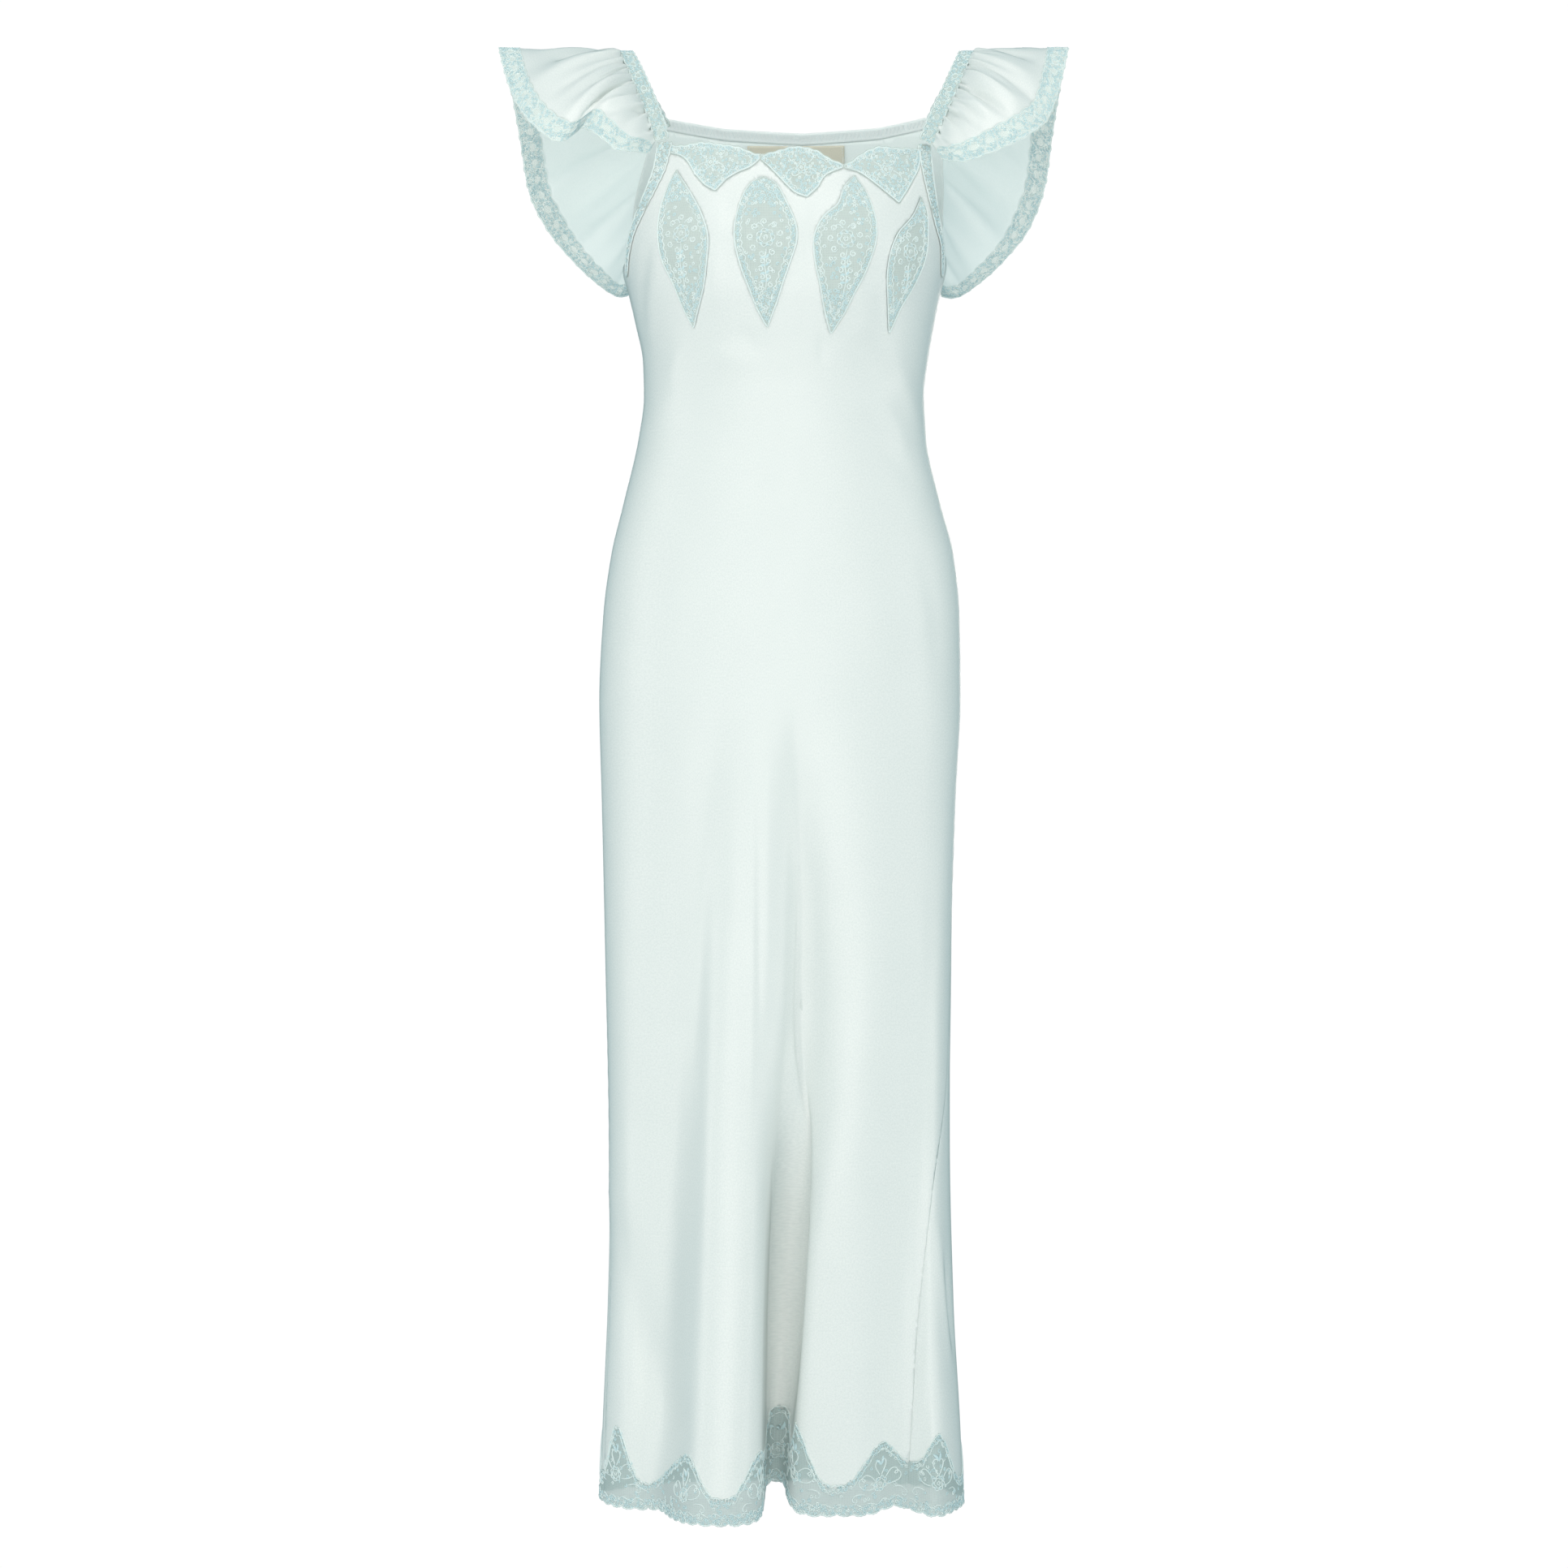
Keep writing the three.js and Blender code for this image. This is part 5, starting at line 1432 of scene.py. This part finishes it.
for side in ("right", "left"):
    sign = -1 if side == "right" else 1
    rows = FRONT_TOP[(sign * FRONT_TOP[:, 0] >= TRIM_TOP_FROM[side]) & (FRONT_TOP[:, 1] <= -104)]
    rows = np.vstack([rows, [sign * TRIM_FOOT_X[side], UNDERARM_Z]])
    edge_x = fair(rows[:, 1], rows[:, 0])
    trim_top = rows[:, 1].max() - 1
    trim_drop = trim_top - (UNDERARM_Z + 2)

    def on_armhole(flat, lift, sign=sign, edge_x=edge_x, trim_top=trim_top):
        z = trim_top - flat[:, 0]
        edge = angle_at(edge_x(z), z)
        turn = np.degrees(flat[:, 1] / np.hypot(*plain_section(edge, z)))
        angle = edge - sign * turn
        return on_dress(angle, z, lift), dress_normal(angle, z)

    def trim_high(s, drop=trim_drop):
        return TRIM_WIDTH * (1 - 0.5 * s / drop) - 1 + scallop(s, TRIM_SCALLOP, 1.0)

    outline = ribbon_outline(trim_drop, trim_low, trim_high)
    stitches = ribbon_stitches(trim_drop, trim_low, trim_high, 3.1)
    size = (round(trim_drop * MM * 1.15, 3), 0.0175)
    make_lace(f"armhole_lace_{side}", outline, stitches, on_armhole, size, 0.9, 2.6)

# %% Sleeve edges
def sleeve_low(s):
    return -scallop(s, SLEEVE_SCALLOP, 2.2)


def sleeve_high(s):
    return SLEEVE_LACE_WIDTH - 1.6 + scallop(s + 4, SLEEVE_SCALLOP / 2, 1.2) + scallop(s, SLEEVE_SCALLOP, 1.2)


for side in heads:
    total = float(edge_lengths[side][-1])

    def on_edge(flat, lift, side=side):
        u = np.interp(flat[:, 0], edge_lengths[side], share_steps)
        start = lace_from(side, u)
        v = start + flat[:, 1] / SLEEVE_LACE_WIDTH * (1 - start)
        return on_sleeve(side, u, v, lift)

    outline = ribbon_outline(total, sleeve_low, sleeve_high)
    stitches = ribbon_stitches(total, sleeve_low, sleeve_high, 3.3, SLEEVE_SCALLOP, (4.6, 3.6))
    size = (round(total * MM + 0.004, 3), 0.027)
    make_lace(f"sleeve_lace_{side}", outline, stitches, on_edge, size, 0.0, both=True,
              finish=lit_sleeve_net)

# %% [markdown]
# ## Hem lace
# A deep lace runs all round. Its upper edge climbs to a peak at each repeat and its lower edge is fine
# scallops. It is drawn flat along the hem's own length, so it follows every fold without being squeezed.

# %% Hem lace pattern
HEM_SCALLOP = 15.2


def hem_at(s):
    return np.interp(s, hem_length, ring_angles)


def on_hem(flat, lift):
    angle = hem_at(flat[:, 0])
    z = hem_edge_z(angle) + flat[:, 1]
    return on_dress(angle, z, lift), dress_normal(angle, z)


def hem_low(s):
    return 1.6 - scallop(s, HEM_SCALLOP, 2.6) - scallop(s, HEM_SCALLOP / 4, 0.8)


def hem_high(s):
    return hem_lace_height(hem_at(s)) + 0.8 + scallop(s, 7.6, 1.8) + scallop(s + 3, 12.1, 1.9)


def hem_stitches(start, end):
    s = np.arange(start + 1, end - 1, 1.8)
    found = []
    top, foot = hem_high(s), hem_low(s)
    for line, half in ((top - 1.0, 0.6), (top - 7.5 + 0.8 * np.sin(s / 1.3), 0.45), (foot + 1.0, 0.7),
                       (foot + 10 + 1.5 * np.sin(s * 2 * np.pi / HEM_SCALLOP), 0.5)):
        found += in_parts(s, line, half, end - start)
    spots = scatter((start + 2, -1), (end - 2, 82), 3.7)
    below = hem_high(spots[:, 0]) - spots[:, 1]
    above = spots[:, 1] - hem_low(spots[:, 0])
    dense = (below > 1.8) & (above > 1.8) & ((below < 8.5) | (above < 10))
    found += fill_curls(spots[dense], 1.7)
    open_net = spots[(below > 10) & (above > 12)]
    found += fill_curls(open_net[rng.random(len(open_net)) < 0.12], 1.9)
    for angle, peak, _ in HEM_LACE:
        for turn in (0, 360):
            at = float(np.interp(angle + turn, ring_angles, hem_length))
            if start + 12 < at < end - 12:
                heart = 0.42 * peak
                found += rose((at, heart), 7.5, angle)
                found += mirrored([(6, heart + 4, 1.0, 26, -0.8, -5.0), (7, heart - 3, -0.1, 34, 0.9, 5.5),
                                   (1, heart + 8, 1.2, 22, -1.0, 5.0),
                                   (16, 0.3 * peak, 0.3, 26, -1.0, -5.5)], at)
                found += [leaf((at, 0.7 * peak), a, 9, 3.4) for a in (0.8, np.pi - 1.3)]
    return found


hem_ends = {"hem_lace_front": (seam["right"](HEM_Z + 40), seam["left"](HEM_Z + 40)),
            "hem_lace_back": (seam["left"](HEM_Z + 40), seam["right"](HEM_Z + 40) + 360)}
for name, (first, last) in hem_ends.items():
    start, end = (float(np.interp(a, ring_angles, hem_length)) for a in (first, last))
    s = np.linspace(start, end, int((end - start) / 2))
    outline = np.vstack([np.stack([s, hem_low(s)], -1), np.stack([s, hem_high(s)], -1)[::-1]])
    size = (round((end - start) * MM + 0.004, 3), 0.086)
    make_lace(name, outline, hem_stitches(start, end), on_hem, size, 0.0, both=True, finish=shaded_hem_net)

# %% [markdown]
# ## Back neckline and label
# The back neckline is bound with a narrow band, held by a zigzag stitch that shows on both sides. A blank
# woven label is stitched inside it.

# %% Neck band
NECK_BAND_WIDTH = 11.5
BAND_BELOW = 0.6
band_from = float(STRAP_LINES["right"][-1, 0]) + 1
band_to = float(STRAP_LINES["left"][-1, 0]) - 1


def on_band(flat, lift):
    z = np.interp(flat[:, 0], BACK_TOP[4:11, 0], BACK_TOP[4:11, 1]) + flat[:, 1]
    angle = angle_at(flat[:, 0], z, back=True)
    return on_dress(angle, z, lift), dress_normal(angle, z)


x, w, faces = flat_grid((band_from, band_to), (-BAND_BELOW, NECK_BAND_WIDTH), 110, 5)
flat = np.stack([x, w], -1)
points, normals = on_band(flat, 0.5 * np.sin(np.pi * (w + BAND_BELOW) / (NECK_BAND_WIDTH + BAND_BELOW)))
band, area = lay("back_neck_band", points, faces, normals, [band_satin, band_satin], flat, 1.4)

zigzag_x = np.arange(band_from + 1, band_to - 1, 2.0)
zigzag = np.stack([zigzag_x, 2.6 + 6.4 * (np.arange(len(zigzag_x)) % 2)], -1)
stitches = [dict(line=part, half=np.full(len(part), 0.26), high=np.full(len(part), 0.45), tone=CORD)
            for part in np.array_split(zigzag, 12)]
for face, out, lift in (("outside", 1, 0.5), ("inside", -1, -1.6)):
    def on_face(f, up, out=out, lift=lift):
        points, normals = on_band(f, lift + out * up)
        return points, out * normals

    raise_strokes(f"neck_band_stitches.{face}", stitches, on_face, [sewing_thread])

# %% Label
LABEL = dict(width=98, height=32, x=12, top=-85, lift=-1.9, seam_x=47)


def on_label(flat, lift):
    z = LABEL["top"] - flat[:, 1]
    angle = angle_at(LABEL["x"] + flat[:, 0], z, back=True)
    return on_dress(angle, z, LABEL["lift"] - np.asarray(lift)), -dress_normal(angle, z)


a, b, faces = flat_grid((-LABEL["width"] / 2, LABEL["width"] / 2), (0, LABEL["height"]), 40, 14)
flat = np.stack([a, b], -1)
points, normals = on_label(flat, 0.35 + 0.5 * np.sin(np.pi * b / LABEL["height"]) * np.cos(a / 17) ** 2)
label, _ = lay("label", points, faces, normals, [label_weave, label_weave], flat, 0.35)
seams = []
for x in (-LABEL["seam_x"], LABEL["seam_x"]):
    for z in np.arange(1.5, LABEL["height"] - 1.5, 2.6):
        seams.append(stroke([(x, z), (x, z + 0.8), (x, z + 1.6)], 0.3, 0.3))
made = raise_strokes("label.stitches", seams, lambda f, up: on_label(f, up + 0.5), [sewing_thread])

# %% [markdown]
# ## Stage and light
# A plain pale floor in a white room, and large soft lights, as in a studio for clothes. The room's own light
# is a little blue, so folds that only it reaches turn blue as they do in the studio.

# %% Stage
FLOOR_Z = -1.8
FLOOR_X, FLOOR_NEAR, FLOOR_FAR = 3.2, -5.4, 1.5
corners = [(-FLOOR_X, FLOOR_NEAR), (FLOOR_X, FLOOR_NEAR), (FLOOR_X, FLOOR_FAR), (-FLOOR_X, FLOOR_FAR)]
paper, tree, shader = new_material("studio paper", {"Roughness": 0.9})
speckle = node(tree, "ShaderNodeTexNoise", {"Scale": 3.0})
paper_tone = mixed(tree, speckle.outputs["Fac"], (0.93, 0.93, 0.93, 1), (0.96, 0.96, 0.96, 1))
tree.links.new(paper_tone, shader.inputs["Base Color"])
ground = to_mesh("studio_floor", np.array([(*xy, FLOOR_Z) for xy in corners]) / MM, [(0, 1, 2, 3)], [paper])

scene.view_settings.view_transform = "Standard"
world = bpy.data.worlds.new("studio")
scene.world = world
world.use_nodes = True
sky = world.node_tree
room = sky.nodes["Background"]
room.inputs["Color"].default_value = (0.38, 0.88, 1, 1)
room.inputs["Strength"].default_value = 0.325
seen = node(sky, "ShaderNodeBackground", {"Color": (1, 1, 1, 1), "Strength": 1.02})
path = node(sky, "ShaderNodeLightPath")
choose = node(sky, "ShaderNodeMixShader",
              {0: path.outputs["Is Camera Ray"], 1: room.outputs[0], 2: seen.outputs[0]})
sky.links.new(choose.outputs[0], sky.nodes["World Output"].inputs["Surface"])


LIGHTS = [
    # name, where it stands, what it is turned to, its width and height, and watts
    ("key", (0.6, -4.3, -0.2), (0, 0, -0.7), (2.4, 3.4), 34.5),
    ("fill", (-1.4, -4.1, -0.5), (0, 0, -0.7), (2.4, 3.4), 34),
    ("side right", (-3.6, -1.2, -0.6), (0, 0, -0.7), (1.2, 3.2), 34),
    ("side left", (3.6, -1.2, -0.6), (0, 0, -0.7), (1.2, 3.2), 30),
    ("top", (0, -1.9, 2.3), (0, 0, -0.25), (2.2, 1.4), 38),
    ("low", (0, -3.2, -1.5), (0, 0, -0.2), (2.6, 0.5), 13),
    ("back", (0.4, 4.4, 0.2), (0, 0, -0.7), (2.4, 2.4), 95),
    ("floor", (0, -0.6, 2.9), (0, 0.4, FLOOR_Z), (3.4, 2.4), 24),
]
WARM = (1, 0.875, 0.825)


def soft_light(name, place, aim, size, watts):
    data = bpy.data.lights.new(name, "AREA")
    data.shape = "RECTANGLE"
    data.size, data.size_y = size
    data.energy = watts
    data.color = WARM
    lamp = bpy.data.objects.new(name, data)
    lamp.location = place
    lamp.rotation_euler = (Vector(aim) - Vector(place)).to_track_quat("-Z", "Y").to_euler()
    scene.collection.objects.link(lamp)


for light in LIGHTS:
    soft_light(*light)
